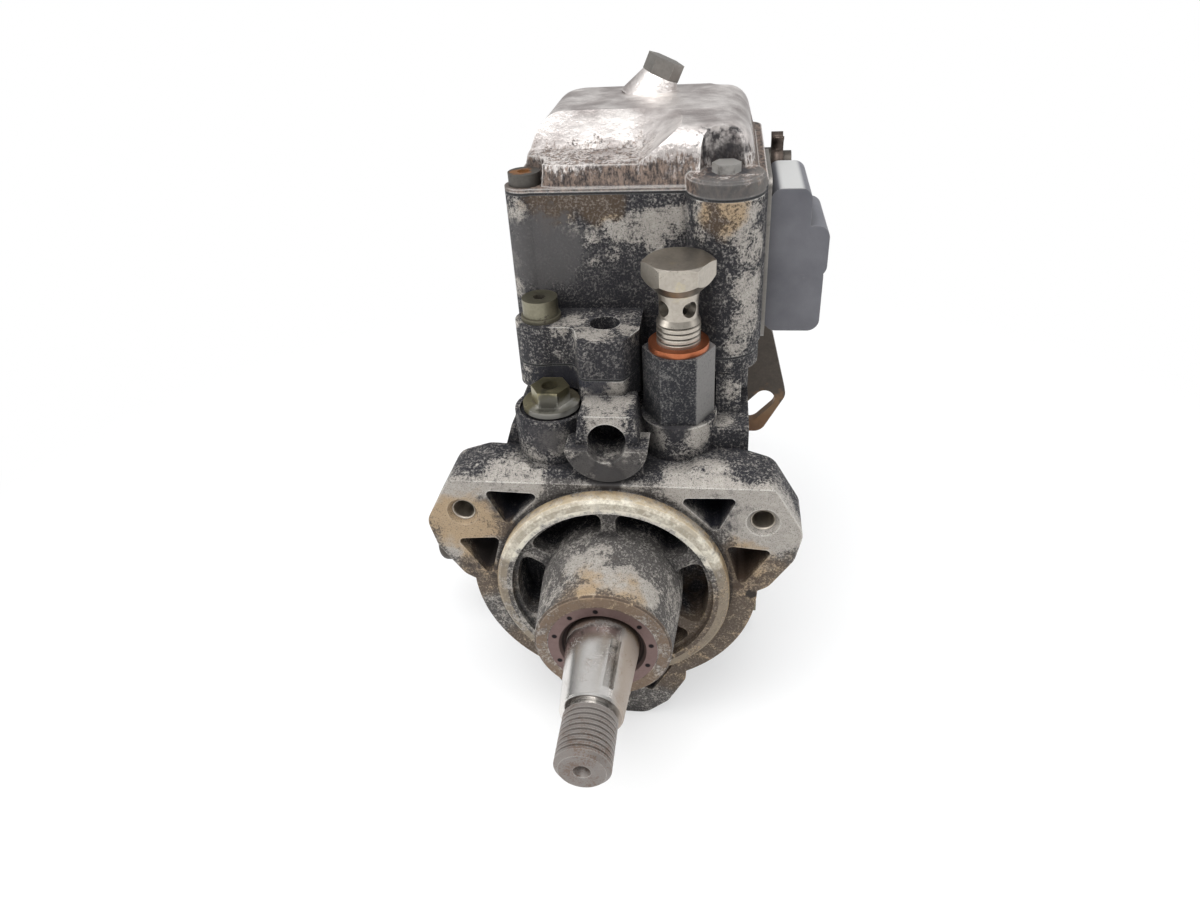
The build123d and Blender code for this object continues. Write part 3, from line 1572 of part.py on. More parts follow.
# Actuator cover: a rim, a drafted dome with pockets for the screws, the column's rim and the neck
dome_base = cover_base + cover_rim
dome_top = dome_base + cover_height
column_top = cover_base + column_rim_height
with BuildPart() as actuator_cover:
    with BuildSketch(level(cover_base)):
        add(housing_outline.sketch.moved(Location((0, 0, cover_base))))
    extrude(amount=cover_rim)
    with BuildSketch(level(dome_base)):
        with Locations((middle_x, middle_y)):
            RectangleRounded(width - 2 * cover_side_inset, depth - 2 * cover_inset, cover_corner)
    extrude(amount=cover_height, taper=cover_draft)
    fillet(faces().sort_by(Axis.Z)[-1].edges(), cover_round)
    # The front left falls away in a shelf, which rises to the dome's height behind it and to its right.
    shelf_front = housing_front - 1
    shelf_cut = dome_top + 1
    with BuildSketch(across(-housing_left - 1)):
        with BuildLine():
            Polyline(
                (shelf_front, shelf_level),
                (shelf_slope_start, shelf_level + 1),
                (shelf_slope_end, shelf_cut),
                (shelf_front, shelf_cut),
                close=True,
            )
        make_face()
    extrude(amount=housing_left + 1 + shelf_right, mode=Mode.SUBTRACT)
    with BuildSketch(across(shelf_right)):
        with BuildLine():
            Polyline(
                (shelf_front, shelf_level),
                (shelf_slope_start, shelf_level + 1),
                (shelf_slope_end, shelf_cut),
                (shelf_front, shelf_cut),
                close=True,
            )
        make_face()
    with BuildSketch(across(shelf_right + shelf_rise)):
        with BuildLine():
            Polyline(
                (shelf_front, shelf_cut - shelf_run_out),
                (shelf_slope_start, shelf_cut - shelf_run_out + shelf_overrun),
                (shelf_slope_end, shelf_cut + shelf_overrun),
                (shelf_front, shelf_cut + shelf_overrun),
                close=True,
            )
        make_face()
    loft(ruled=True, mode=Mode.SUBTRACT)
    # Pockets round the screws, open to the outside
    with BuildSketch(level(dome_base)):
        with Locations(*cover_screws_flat):
            Circle(cover_screw_head_radius + cover_pocket_gap)
        for x, y in cover_screws_flat:
            outward_x = math.copysign(cover_screw_head_radius, x)
            outward_y = math.copysign(cover_screw_head_radius, y - middle_y)
            with Locations((x + outward_x, y), (x + outward_x, y + outward_y), (x, y + outward_y)):
                Rectangle(2 * cover_screw_head_radius, 2 * cover_screw_head_radius)
        with Locations((column_x, column_y)):
            Circle(cover_pocket_radius)
        with Locations((column_x, column_y - cover_pocket_radius)):
            Rectangle(2 * cover_pocket_radius, 2 * cover_pocket_radius)
    extrude(amount=cover_height + 1, mode=Mode.SUBTRACT)
    # The column's rim stands higher than the rest of the seam, and its bolt is seated on it.
    with BuildSketch(Plane(origin=(column_x, column_y, 0), x_dir=(1, 0, 0), z_dir=(0, -1, 0))):
        with BuildLine():
            Polyline(
                (0, cover_base),
                (column_radius, cover_base),
                (column_radius, column_top - column_rim_edge),
                (column_radius - column_rim_edge, column_top),
                (0, column_top),
                close=True,
            )
        make_face()
    revolve(axis=Axis(origin=(column_x, column_y, 0), direction=(0, 0, 1)))
    neck_axis = Vector(math.sin(math.radians(neck_lean)), math.sin(math.radians(neck_back_lean)), 1).normalized()
    neck_root = Vector(neck_x, neck_y, neck_level)
    with BuildSketch(Plane(origin=neck_root, z_dir=neck_axis)):
        Circle(neck_root_radius)
    with BuildSketch(Plane(origin=neck_root + neck_axis * neck_length, z_dir=neck_axis)):
        Circle(neck_tip_radius)
    loft()
    # Hollow under the dome, low under the shelf and high behind its slope
    hollow_front = housing_front + cover_hollow_end
    hollow_back = housing_back - cover_hollow_end
    for low, top in ((hollow_front, shelf_level), (shelf_slope_end + cover_wall, dome_top)):
        with BuildSketch(level(cover_base)):
            with Locations((middle_x, (low + hollow_back) / 2)):
                RectangleRounded(width - 2 * cover_hollow_side, hollow_back - low, housing_corner)
        extrude(amount=top - cover_wall - cover_base, mode=Mode.SUBTRACT)
    with BuildSketch(level(cover_base)):
        with Locations((column_x, column_y), *cover_screws_flat):
            Circle(cover_screw_radius)
    extrude(amount=column_rim_height, mode=Mode.SUBTRACT)
save(actuator_cover.part, "actuator_cover")

# Hexagon plug on the neck
with BuildPart() as return_plug:
    with BuildSketch(Plane(origin=neck_root + neck_axis * neck_length, z_dir=neck_axis)):
        RegularPolygon(return_plug_hex / 2, 6, major_radius=False)
    extrude(amount=return_plug_length)
save(return_plug.part, "return_plug")

# Stub pipe out of the actuator housing's right side, with a stop collar
with BuildPart() as return_pipe:
    with BuildSketch(across(housing_right - housing_wall)):
        with Locations((pipe_y, pipe_level)):
            Circle(pipe_radius)
    extrude(amount=pipe_reach - housing_right + housing_wall)
    with BuildSketch(across(housing_right)):
        with Locations((pipe_y, pipe_level)):
            Circle(pipe_collar_radius)
    extrude(amount=pipe_collar_reach)
    with BuildSketch(across(pipe_reach)):
        with Locations((pipe_y, pipe_level)):
            Circle(pipe_bore_radius)
    extrude(amount=-(pipe_reach - housing_right + housing_wall), mode=Mode.SUBTRACT)
save(return_pipe.part, "return_pipe")

# Screws of the cover: three six-lobe cap screws and the hexagon bolt on the column
cover_seat = cover_base + cover_rim
with BuildPart() as cover_screws:
    with BuildSketch(level(cover_seat)):
        with Locations(*cover_screws_flat):
            Circle(cover_screw_head_radius)
    extrude(amount=cover_screw_head_height)
    with BuildSketch(level(cover_seat + cover_screw_head_height)):
        with Locations(*cover_screws_flat):
            RegularPolygon(screw_socket_radius, 6)
    extrude(amount=-screw_socket_depth, mode=Mode.SUBTRACT)
    with BuildSketch(level(column_top)):
        with Locations((column_x, column_y)):
            RegularPolygon(column_bolt_hex / 2, 6, major_radius=False)
    extrude(amount=column_bolt_head)
    with BuildSketch(level(column_top)):
        with Locations((column_x, column_y)):
            Circle(cover_screw_radius)
    extrude(amount=cover_seat - column_top)
    with BuildSketch(level(cover_seat)):
        with Locations((column_x, column_y), *cover_screws_flat):
            Circle(cover_screw_radius)
    extrude(amount=-cover_screw_length)
save(cover_screws.part, "cover_screws")

# Screws of the foot and of the distributor head, all alike
with BuildPart() as housing_screws:
    seats = [(Vector(x, y, foot_top), Vector(0, 0, 1)) for x, y in foot_screws]
    for x, z in head_screws:
        seat_y = head_face + bracket_thickness if (x, z) in bracket_side_screws else head_face
        seats.append((Vector(x, seat_y, z), Vector(0, 1, 0)))
    for seat, outward in seats:
        with BuildSketch(Plane(origin=seat, z_dir=outward)):
            Circle(screw_flange_radius)
        extrude(amount=screw_flange_height)
        with BuildSketch(Plane(origin=seat, z_dir=outward)):
            Circle(screw_head_radius)
        extrude(amount=screw_head_height)
        with BuildSketch(Plane(origin=seat, z_dir=outward)):
            Circle(screw_radius)
        extrude(amount=-screw_length)
        with BuildSketch(Plane(origin=seat + outward * screw_head_height, z_dir=outward)):
            RegularPolygon(screw_socket_radius, 6)
        extrude(amount=-screw_socket_depth, mode=Mode.SUBTRACT)
save(housing_screws.part, "housing_screws")

# Laminated core of the quantity actuator
with BuildPart() as actuator_core:
    with BuildSketch(level(core_start)):
        with Locations((eccentric_offset, (core_front + core_back) / 2)):
            RectangleRounded(2 * core_half_width, core_back - core_front, core_corner)
        window_front = core_front + core_bridge
        window_back = collar_centre - rotor_radius - 2
        with Locations((eccentric_offset, (window_front + window_back) / 2)):
            Rectangle(2 * core_window_half, window_back - window_front, mode=Mode.SUBTRACT)
        with Locations((eccentric_offset, collar_centre)):
            Circle(rotor_radius + pole_bore_gap, mode=Mode.SUBTRACT)
        with Locations((eccentric_offset, (window_back + collar_centre) / 2 - pole_gap_shift)):
            Rectangle(pole_gap_width, collar_centre - window_back + pole_gap_shift, mode=Mode.SUBTRACT)
        with Locations((eccentric_offset, core_back - pole_back_inset)):
            Rectangle(pole_gap_width, 4 * pole_back_inset, mode=Mode.SUBTRACT)
    extrude(amount=core_height)
save(actuator_core.part, "actuator_core")

# Coil on the core's front bridge
with BuildPart() as actuator_coil:
    with BuildSketch(across(eccentric_offset - core_window_half + coil_margin)):
        with Locations((core_front + core_bridge / 2, core_start + core_height / 2)):
            RectangleRounded(core_bridge + 2 * coil_thickness, core_height + 2 * coil_thickness, coil_corner)
            Rectangle(core_bridge, core_height, mode=Mode.SUBTRACT)
    extrude(amount=2 * (core_window_half - coil_margin))
save(actuator_coil.part, "actuator_coil")

# Actuator rotor on its shaft, with the eccentric pin and ball at the bottom
with BuildPart() as actuator_rotor:
    pin_top = housing_base - rotor_disc_drop
    with BuildSketch(level(pin_top)):
        with Locations((eccentric_offset, collar_centre)):
            Circle(actuator_shaft_radius)
    extrude(amount=actuator_shaft_top - pin_top)
    with BuildSketch(level(core_start + rotor_end_gap)):
        with Locations((eccentric_offset, collar_centre)):
            Circle(rotor_radius)
            Rectangle(2 * rotor_flat, 2 * rotor_radius, mode=Mode.INTERSECT)
    extrude(amount=core_height - 2 * rotor_end_gap)
    with BuildSketch(level(pin_top - rotor_disc_thickness)):
        with Locations((eccentric_offset, collar_centre)):
            Circle(actuator_shaft_radius + rotor_disc_lip)
    extrude(amount=rotor_disc_thickness)
    with BuildSketch(level(ball_level)):
        with Locations((0, collar_centre)):
            Circle(ball_radius - ball_neck_step)
    extrude(amount=pin_top - ball_level - 1)
    with Locations((0, collar_centre, ball_level)):
        Sphere(ball_radius)
save(actuator_rotor.part, "actuator_rotor")

# Hexagon union of the inlet
with BuildPart() as inlet_union:
    with BuildSketch(level(union_foot - union_thread_length)):
        with Locations((union_x, union_y)):
            Circle(union_thread_radius)
    extrude(amount=union_thread_length)
    with BuildSketch(level(union_foot)):
        with Locations((union_x, union_y)):
            RegularPolygon(union_hex / 2, 6, major_radius=False, rotation=union_turn)
    extrude(amount=union_top - union_foot)
    with BuildSketch(level(union_foot - union_thread_length)):
        with Locations((union_x, union_y)):
            Circle(inlet_bore_radius)
    extrude(amount=union_top - union_foot + union_thread_length, mode=Mode.SUBTRACT)
    with BuildSketch(level(union_top)):
        with Locations((union_x, union_y)):
            Circle(inlet_shank_radius)
    extrude(amount=-inlet_thread_length, mode=Mode.SUBTRACT)
save(inlet_union.part, "inlet_union")

# Copper washer under the hollow bolt
with BuildPart() as inlet_washer:
    with BuildSketch(level(union_top)):
        with Locations((union_x, union_y)):
            Circle(washer_radius)
            Circle(inlet_shank_radius, mode=Mode.SUBTRACT)
    extrude(amount=washer_thickness)
save(inlet_washer.part, "inlet_washer")

# Hollow inlet bolt: a hexagon with a coned underside, a waisted shank with cross ports, and the thread's first turns
head_level = inlet_seat + inlet_shank_length
head_top = head_level + inlet_head_height
head_corner = inlet_head_hex / math.sqrt(3)
inlet_middle = Plane(origin=(union_x, union_y, 0), x_dir=(1, 0, 0), z_dir=(0, -1, 0))
inlet_axis = Axis(origin=(union_x, union_y, 0), direction=(0, 0, 1))
inlet_thread = []
for turn in range(inlet_thread_turns):
    crest = inlet_seat + thread_pitch * (turn + 1)
    inlet_thread.append((inlet_shank_radius, crest - thread_groove))
    inlet_thread.append((inlet_shank_radius - thread_depth, crest - thread_groove / 2))
    inlet_thread.append((inlet_shank_radius, crest))
with BuildPart() as inlet_bolt:
    with BuildSketch(level(head_level)):
        with Locations((union_x, union_y)):
            RegularPolygon(inlet_head_hex / 2, 6, major_radius=False, rotation=union_turn)
    extrude(amount=inlet_head_height)
    with BuildSketch(inlet_middle):
        with BuildLine():
            Polyline(
                (0, head_level),
                (inlet_collar_radius, head_level),
                (head_corner, head_level + inlet_head_cone),
                (head_corner, head_top - inlet_head_edge),
                (head_corner - 2 * inlet_head_edge, head_top),
                (0, head_top),
                close=True,
            )
        make_face()
    revolve(axis=inlet_axis, mode=Mode.INTERSECT)
    with BuildSketch(inlet_middle):
        with BuildLine():
            Polyline(
                (0, union_top - inlet_thread_length),
                (inlet_shank_radius, union_top - inlet_thread_length),
                *inlet_thread,
                (inlet_waist_radius, inlet_seat + inlet_waist_start),
                (inlet_waist_radius, inlet_seat + inlet_waist_end),
                (inlet_collar_radius, head_level),
                (inlet_collar_radius, head_level + 1),
                (0, head_level + 1),
                close=True,
            )
        make_face()
    revolve(axis=inlet_axis)
    with BuildSketch(level(union_top - inlet_thread_length)):
        with Locations((union_x, union_y)):
            Circle(inlet_bore_radius)
    extrude(amount=inlet_thread_length + washer_thickness + inlet_shank_length - 2, mode=Mode.SUBTRACT)
    port_axis = Vector(math.sin(math.radians(inlet_port_angle)), -math.cos(math.radians(inlet_port_angle)), 0)
    port_middle = Vector(union_x, union_y, inlet_seat + inlet_port_level)
    for port_direction in (port_axis, port_axis.rotate(Axis.Z, 90)):
        with BuildSketch(Plane(origin=port_middle - port_direction * inlet_head_hex / 2, z_dir=port_direction)):
            Circle(inlet_port_radius)
        extrude(amount=inlet_head_hex, mode=Mode.SUBTRACT)
save(inlet_bolt.part, "inlet_bolt")

# Pressure valve body, screwed into its boss
with BuildPart() as pressure_valve_body:
    with BuildSketch(level(valve_boss_top - valve_body_length)):
        with Locations((valve_x, valve_y)):
            Circle(valve_body_radius)
    extrude(amount=valve_body_length)
    with BuildSketch(level(valve_boss_top)):
        with Locations((valve_x, valve_y)):
            Circle(valve_flange_radius)
    extrude(amount=valve_flange_thickness)
    with BuildSketch(level(valve_boss_top + valve_flange_thickness)):
        with Locations((valve_x, valve_y)):
            RegularPolygon(valve_hex / 2, 6, major_radius=False)
    extrude(amount=valve_hex_height)
    valve_top = valve_boss_top + valve_flange_thickness + valve_hex_height
    with BuildSketch(level(valve_top)):
        with Locations((valve_x, valve_y)):
            Circle(valve_top_hole_radius)
    extrude(amount=-valve_socket_depth, mode=Mode.SUBTRACT)
    with BuildSketch(level(valve_boss_top - valve_body_length)):
        with Locations((valve_x, valve_y)):
            Circle(valve_bore_radius)
    extrude(amount=valve_body_length - 2, mode=Mode.SUBTRACT)
save(pressure_valve_body.part, "pressure_valve_body")

# Pressure valve piston, held down by its spring
valve_piston_foot = valve_boss_top - valve_body_length + sliding_gap
with BuildPart() as pressure_valve_piston:
    with BuildSketch(level(valve_piston_foot)):
        with Locations((valve_x, valve_y)):
            Circle(valve_bore_radius - running_gap)
    extrude(amount=valve_piston_length)
save(pressure_valve_piston.part, "pressure_valve_piston")
valve_coil_foot = valve_piston_foot + valve_piston_length + sliding_gap
valve_coil = coil_spring((valve_x, valve_y, valve_coil_foot), (0, 0, 1), valve_bore_radius - 1,
                         valve_spring_wire, valve_spring_turns, valve_boss_top - 2 - valve_coil_foot)
save(valve_coil, "pressure_valve_spring")

# Connector plate: the flange that closes the side of the actuator housing
with BuildPart() as connector_plate:
    with BuildSketch(across(housing_right)):
        with BuildLine():
            FilletPolyline(
                (connector_front - connector_plate_margin, connector_bottom - 1),
                (connector_back + 1, connector_bottom - 1),
                (connector_back + 1, connector_top + connector_plate_margin),
                (connector_front - connector_plate_margin, connector_top + connector_plate_margin),
                radius=connector_plate_corner,
                close=True,
            )
        make_face()
    extrude(amount=connector_plate_thickness)
save(connector_plate.part, "connector_plate")

# Plastic connector: three stepped blocks and a socket at the rear with its pins
connector_face = housing_right + connector_plate_thickness
with BuildPart() as connector_body:
    with BuildSketch(facing(connector_front)):
        for low, high, reach in (
            (connector_step - connector_corner, connector_top, connector_upper_reach),
            (connector_waist, connector_step, connector_drum_reach),
            (connector_bottom, connector_waist + connector_corner, connector_lower_reach),
        ):
            with BuildLine():
                FilletPolyline(
                    (connector_face, low),
                    (connector_face + reach, low),
                    (connector_face + reach, high),
                    (connector_face, high),
                    radius=connector_edge_round,
                    close=True,
                )
            make_face()
        with Locations((connector_face + connector_web / 2, (connector_bottom + connector_top) / 2)):
            Rectangle(connector_web, connector_top - connector_bottom - 2 * connector_corner)
    extrude(amount=-(connector_back - connector_front))
    socket_height = connector_step - connector_bottom - 2 * connector_socket_floor
    socket_width = connector_lower_reach - 2 * connector_socket_wall
    socket_x = connector_face + connector_lower_reach / 2
    socket_z = (connector_step + connector_bottom) / 2
    with BuildSketch(facing(connector_back)):
        with Locations((socket_x, socket_z)):
            RectangleRounded(socket_width, socket_height, 2)
    extrude(amount=connector_socket_depth, mode=Mode.SUBTRACT)
    with BuildSketch(facing(connector_back - connector_socket_depth)):
        with Locations((socket_x, socket_z)):
            with GridLocations(
                socket_width / connector_pin_columns,
                socket_height / connector_pin_rows,
                connector_pin_columns,
                connector_pin_rows,
            ):
                Rectangle(connector_pin_width, connector_pin_width)
    extrude(amount=-connector_pin_length)
save(connector_body.part, "connector_body")

# Slotted support bracket, bolted to the right of the distributor head
with BuildPart() as support_bracket:
    with BuildSketch(facing(head_face)):
        with BuildLine():
            FilletPolyline(
                (bracket_inner, bracket_top),
                (bracket_top_right, bracket_top),
                (bracket_tip_x, bracket_tip_z),
                (bracket_low_x, bracket_low_z),
                (bracket_waist_x, bracket_low_z),
                (bracket_foot_x, bracket_bottom),
                (bracket_inner, bracket_bottom),
                radius=bracket_corner,
                close=True,
            )
        make_face()
        Circle(head_radius + easy_gap, mode=Mode.SUBTRACT)
        with Locations(Location((bracket_slot_x, bracket_slot_z), bracket_slot_angle)):
            SlotOverall(bracket_slot_length, bracket_slot_width, mode=Mode.SUBTRACT)
        with Locations(*bracket_side_screws):
            Circle(screw_radius, mode=Mode.SUBTRACT)
    extrude(amount=-bracket_thickness)
save(support_bracket.part, "support_bracket")
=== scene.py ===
# %% [markdown]
# # A worn distributor injection pump
#
# The pump comes from the CAD frame as sixty closed pieces. This lesson dresses them: first the camera and
# a pale studio, then one finish for each metal and plastic, and then the threads and the hose clip that
# the solids leave out.

# %% Load the packed model
import bmesh
import bpy
import math
from mathutils import Matrix, Vector


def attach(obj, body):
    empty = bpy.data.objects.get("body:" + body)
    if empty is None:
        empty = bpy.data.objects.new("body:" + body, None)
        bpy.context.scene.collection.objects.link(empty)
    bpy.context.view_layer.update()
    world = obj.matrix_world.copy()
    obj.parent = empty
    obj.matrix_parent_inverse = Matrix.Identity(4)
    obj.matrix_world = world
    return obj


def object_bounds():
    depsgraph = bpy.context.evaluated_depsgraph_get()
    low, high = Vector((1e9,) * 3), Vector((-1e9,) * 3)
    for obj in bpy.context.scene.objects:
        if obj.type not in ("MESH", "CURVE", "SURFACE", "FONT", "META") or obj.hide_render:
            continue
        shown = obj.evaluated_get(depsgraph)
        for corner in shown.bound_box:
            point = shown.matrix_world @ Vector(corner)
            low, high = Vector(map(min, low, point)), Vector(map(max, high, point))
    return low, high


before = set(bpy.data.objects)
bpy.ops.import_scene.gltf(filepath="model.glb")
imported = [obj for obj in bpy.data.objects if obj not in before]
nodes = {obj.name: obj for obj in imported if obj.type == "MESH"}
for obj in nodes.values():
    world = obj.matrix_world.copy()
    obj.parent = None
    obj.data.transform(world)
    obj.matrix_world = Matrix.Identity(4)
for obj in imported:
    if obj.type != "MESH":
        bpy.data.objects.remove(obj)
cad_box = [list(corner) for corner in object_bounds()]
print("nodes:", len(nodes), "box:", cad_box)

# %% [markdown]
# All sizes below are written in millimetres, as on the drawing, and Blender counts in metres. One factor
# turns the first into the second. On the drawing X is to the right, Y goes back from the mounting face
# and Z is up, with the shaft on the Y axis.

# %% Units
MM = 0.001


def mm(x, y, z):
    """A point of the drawing as Blender's vector."""
    return Vector((x, y, z)) * MM


def fresh(name, mesh, body):
    """Link a finished bmesh as a piece that rides on a body."""
    data = bpy.data.meshes.new(name)
    mesh.to_mesh(data)
    mesh.free()
    piece = bpy.data.objects.new(name, data)
    bpy.context.scene.collection.objects.link(piece)
    for polygon in data.polygons:
        polygon.use_smooth = True
    if body:
        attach(piece, body)
    return piece


print("one millimetre is", MM, "units")

# %% [markdown]
# ## Camera
#
# The photograph was taken from above and a little to the right of the shaft, with the phone turned
# slightly. The three angles, the distance and the focal length were measured from the ear holes and the
# pilot. The camera's axes are worked out from the angles, so that a reader can turn one of them and see
# what it does.

# %% Camera
camera_place = mm(28.8, -183.2, 169.3)
camera_yaw = math.radians(-9.36)
camera_pitch = math.radians(33.35)
camera_roll = math.radians(-3.74)
focal_pixels = 837
frame_pixels = 1200
sensor_width = 36
nearest_seen = 10

forward = Vector((math.sin(camera_yaw) * math.cos(camera_pitch),
                  math.cos(camera_yaw) * math.cos(camera_pitch),
                  -math.sin(camera_pitch)))
level_right = Vector((math.cos(camera_yaw), -math.sin(camera_yaw), 0))
level_up = level_right.cross(forward)
camera_right = math.cos(camera_roll) * level_right + math.sin(camera_roll) * level_up
camera_up = camera_right.cross(forward)
camera_axes = Matrix((camera_right, camera_up, -forward)).transposed().to_4x4()

camera_data = bpy.data.cameras.new("photo_camera")
camera_data.sensor_width = sensor_width
camera_data.lens = focal_pixels / frame_pixels * sensor_width
camera_data.clip_start = nearest_seen * MM
camera = bpy.data.objects.new("photo_camera", camera_data)
camera.matrix_world = Matrix.Translation(camera_place) @ camera_axes
bpy.context.scene.collection.objects.link(camera)
bpy.context.scene.camera = camera
print("lens", round(camera_data.lens, 2), "mm")

# %% [markdown]
# ## Shader maths as expressions
#
# A finish is mostly arithmetic on patterns: paint times wear plus grime. Wiring that by hand hides the
# idea, so one small class wraps a socket and turns `+`, `-`, `*` into Math nodes, and one method makes
# every other node.

# %% A socket that can be calculated with
class Signal:
    """One output socket of a finish. Arithmetic on it adds Math nodes."""

    def __init__(self, finish, socket):
        self.finish = finish
        self.socket = socket

    def __add__(self, other):
        return self.finish.maths("ADD", self, other)

    def __sub__(self, other):
        return self.finish.maths("SUBTRACT", self, other)

    def __rsub__(self, other):
        return self.finish.maths("SUBTRACT", other, self)

    def __mul__(self, other):
        return self.finish.maths("MULTIPLY", self, other)

    __radd__ = __add__
    __rmul__ = __mul__


print("signals know", [name for name in vars(Signal) if name.startswith("__r")])

# %% [markdown]
# The same spots also lay some painted highlights and painted shade.
# The finish holds one material. `place` is the point of the piece in its own, unmoving coordinates, so a
# pattern stays on the metal when a body moves. `spot` is the tool for likeness: it marks a ragged patch
# round a point of the drawing, which is how worn paint and stains get to where the photograph has them.
#
# Noise lies between 0 and 1 round a middle of a half. The levels below say where a mask starts and where
# it is full: for a spot in shares of its radius, for an edge in how alike two normals are, and for a
# corner in how much open sky is left.

# %% Levels of the masks
noise_middle = 0.5
spot_raggedness = 2.4
spot_outside = 1.25
spot_inside = 0.70
ring_blur = 0.1
flat_likeness = 0.985
edge_likeness = 0.86
edge_samples = 4
sky_samples = 6
open_corner = 0.85
shut_corner = 0.35
tint_strength = 0.85
print("a spot fades between", spot_inside, "and", spot_outside, "of its radius")


# %% A finish and its patterns
class Finish:
    """A material under construction."""

    def __init__(self, name):
        self.material = bpy.data.materials.new(name)
        self.material.use_nodes = True
        self.material.node_tree.nodes.clear()
        self.place = self.node("ShaderNodeTexCoord", {}, {}, "Object")

    def node(self, kind, settings, inputs, output=0):
        """Make any node: settings first, then the values or links of its sockets."""
        made = self.material.node_tree.nodes.new(kind)
        for key, value in settings.items():
            setattr(made, key, value)
        for key, value in inputs.items():
            if isinstance(value, Signal):
                self.material.node_tree.links.new(value.socket, made.inputs[key])
            else:
                made.inputs[key].default_value = value
        return Signal(self, made.outputs[output])

    def maths(self, operation, first, second):
        """One Math node."""
        return self.node("ShaderNodeMath", {"operation": operation}, {0: first, 1: second})

    def noise(self, size, detail, roughness=0.55, stretch=(1, 1, 1)):
        """Cloudy pattern whose blotches are about size millimetres."""
        spread = self.node("ShaderNodeMapping", {"vector_type": "POINT"},
                           {"Vector": self.place, "Scale": stretch})
        inputs = {"Vector": spread, "Scale": 1 / (size * MM), "Detail": detail, "Roughness": roughness}
        return self.node("ShaderNodeTexNoise", {}, inputs)

    def step(self, signal, low, high):
        """0 below low, 1 above high, smooth between; low may be the larger."""
        return self.node("ShaderNodeMapRange", {"interpolation_type": "SMOOTHSTEP"},
                         {"Value": signal, "From Min": low, "From Max": high})

    def axis(self, letter):
        """One coordinate in millimetres."""
        return self.node("ShaderNodeSeparateXYZ", {}, {"Vector": self.place}, letter) * (1 / MM)

    def spot(self, centre, radius, ragged):
        """Ragged patch round a point: 1 inside, 0 outside."""
        distance = self.node("ShaderNodeVectorMath", {"operation": "DISTANCE"},
                             {0: self.place, 1: mm(*centre)}, "Value")
        torn = distance * (1 / (radius * MM)) + (ragged - noise_middle) * spot_raggedness
        return self.step(torn, spot_outside, spot_inside)

    def spots(self, places, ragged):
        """One mask of many spots. Each is a centre and a radius."""
        return self.most([self.spot(centre, radius, ragged) for centre, radius in places])

    def touched(self, colour, touches, ragged, strength=tint_strength):
        """Lay local tints over a colour. Each is a centre, a radius and the tint."""
        for centre, radius, tint in touches:
            colour = self.mix(self.spot(centre, radius, ragged) * strength, colour, rgb(*tint))
        return colour

    def between(self, signal, low, high):
        """1 between two levels and 0 beyond them."""
        return (self.step(signal, low - ring_blur, low + ring_blur)
                * self.step(signal, high + ring_blur, high - ring_blur))

    def ringed(self, colour, rings, strength=tint_strength):
        """Tint bands round the shaft axis. Each has an inner and outer radius, a front, a back and a tint."""
        across = self.node("ShaderNodeVectorMath", {"operation": "MULTIPLY"}, {0: self.place, 1: (1, 0, 1)})
        radius = self.node("ShaderNodeVectorMath", {"operation": "LENGTH"}, {0: across}, "Value") * (1 / MM)
        along = self.axis("Y")
        for inner, outer, front, back, tint in rings:
            band = self.between(radius, inner, outer) * self.between(along, front, back)
            colour = self.mix(band * strength, colour, rgb(*tint))
        return colour

    def most(self, signals):
        """The largest of several masks."""
        largest = signals[0]
        for signal in signals[1:]:
            largest = self.maths("MAXIMUM", largest, signal)
        return largest

    def mix(self, factor, first, second):
        """Blend two colours."""
        return self.node("ShaderNodeMix", {"data_type": "RGBA"}, {0: factor, 6: first, 7: second}, 2)

    def layered(self, colour, layers):
        """Lay colours over one another. Each is a mask, the share of it that shows and the colour."""
        for mask, share, tint in layers:
            colour = self.mix(mask * share, colour, tint)
        return colour

    def edges(self, radius):
        """1 along sharp edges, found by comparing the surface with a rounded copy of it."""
        rounded = self.node("ShaderNodeBevel", {"samples": edge_samples}, {"Radius": radius * MM}, "Normal")
        normal = self.node("ShaderNodeNewGeometry", {}, {}, "Normal")
        likeness = self.node("ShaderNodeVectorMath", {"operation": "DOT_PRODUCT"}, {0: rounded, 1: normal},
                             "Value")
        return self.step(likeness, flat_likeness, edge_likeness)

    def corners(self, distance):
        """1 in corners and under overhangs, where shade falls; a colour laid on it is painted shade."""
        open_sky = self.node("ShaderNodeAmbientOcclusion", {"samples": sky_samples},
                             {"Distance": distance * MM}, "AO")
        return self.step(open_sky, open_corner, shut_corner)

    def finish(self, colour, roughness, metallic, height, depth, gloss=None):
        """Close the material with its shader and a bump of depth millimetres."""
        bump = self.node("ShaderNodeBump", {}, {"Height": height, "Distance": depth * MM, "Strength": 1.0})
        inputs = {"Base Color": colour, "Roughness": roughness, "Metallic": metallic, "Normal": bump}
        if gloss is not None:
            inputs["Specular IOR Level"] = gloss
        self.show(self.node("ShaderNodeBsdfPrincipled", {}, inputs))
        return self.material

    def show(self, shader):
        """Link a shader to the material's output."""
        output = self.material.node_tree.nodes.new("ShaderNodeOutputMaterial")
        self.material.node_tree.links.new(shader.socket, output.inputs["Surface"])


print("a finish knows", [name for name in vars(Finish) if not name.startswith("__")])

# %% [markdown]
# Colours are picked on screen, where a grey of 128 looks half as light as white. A shader counts light,
# so each colour goes through the screen's curve first.

# %% Colours
screen_white = 255
curve_start = 0.04045
curve_offset = 0.055
curve_power = 2.4
straight_slope = 12.92


def linear(share):
    """The light of one screen value between 0 and 1."""
    if share > curve_start:
        return ((share + curve_offset) / (1 + curve_offset)) ** curve_power
    return share / straight_slope


def rgb(red, green, blue):
    """A colour picked on screen, 0 to 255, as the linear colour that a shader takes."""
    return tuple(linear(value / screen_white) for value in (red, green, blue)) + (1,)


def dress(material, *names):
    """Give CAD nodes a finish."""
    for name in names:
        for slot in nodes[name].material_slots:
            slot.material = material


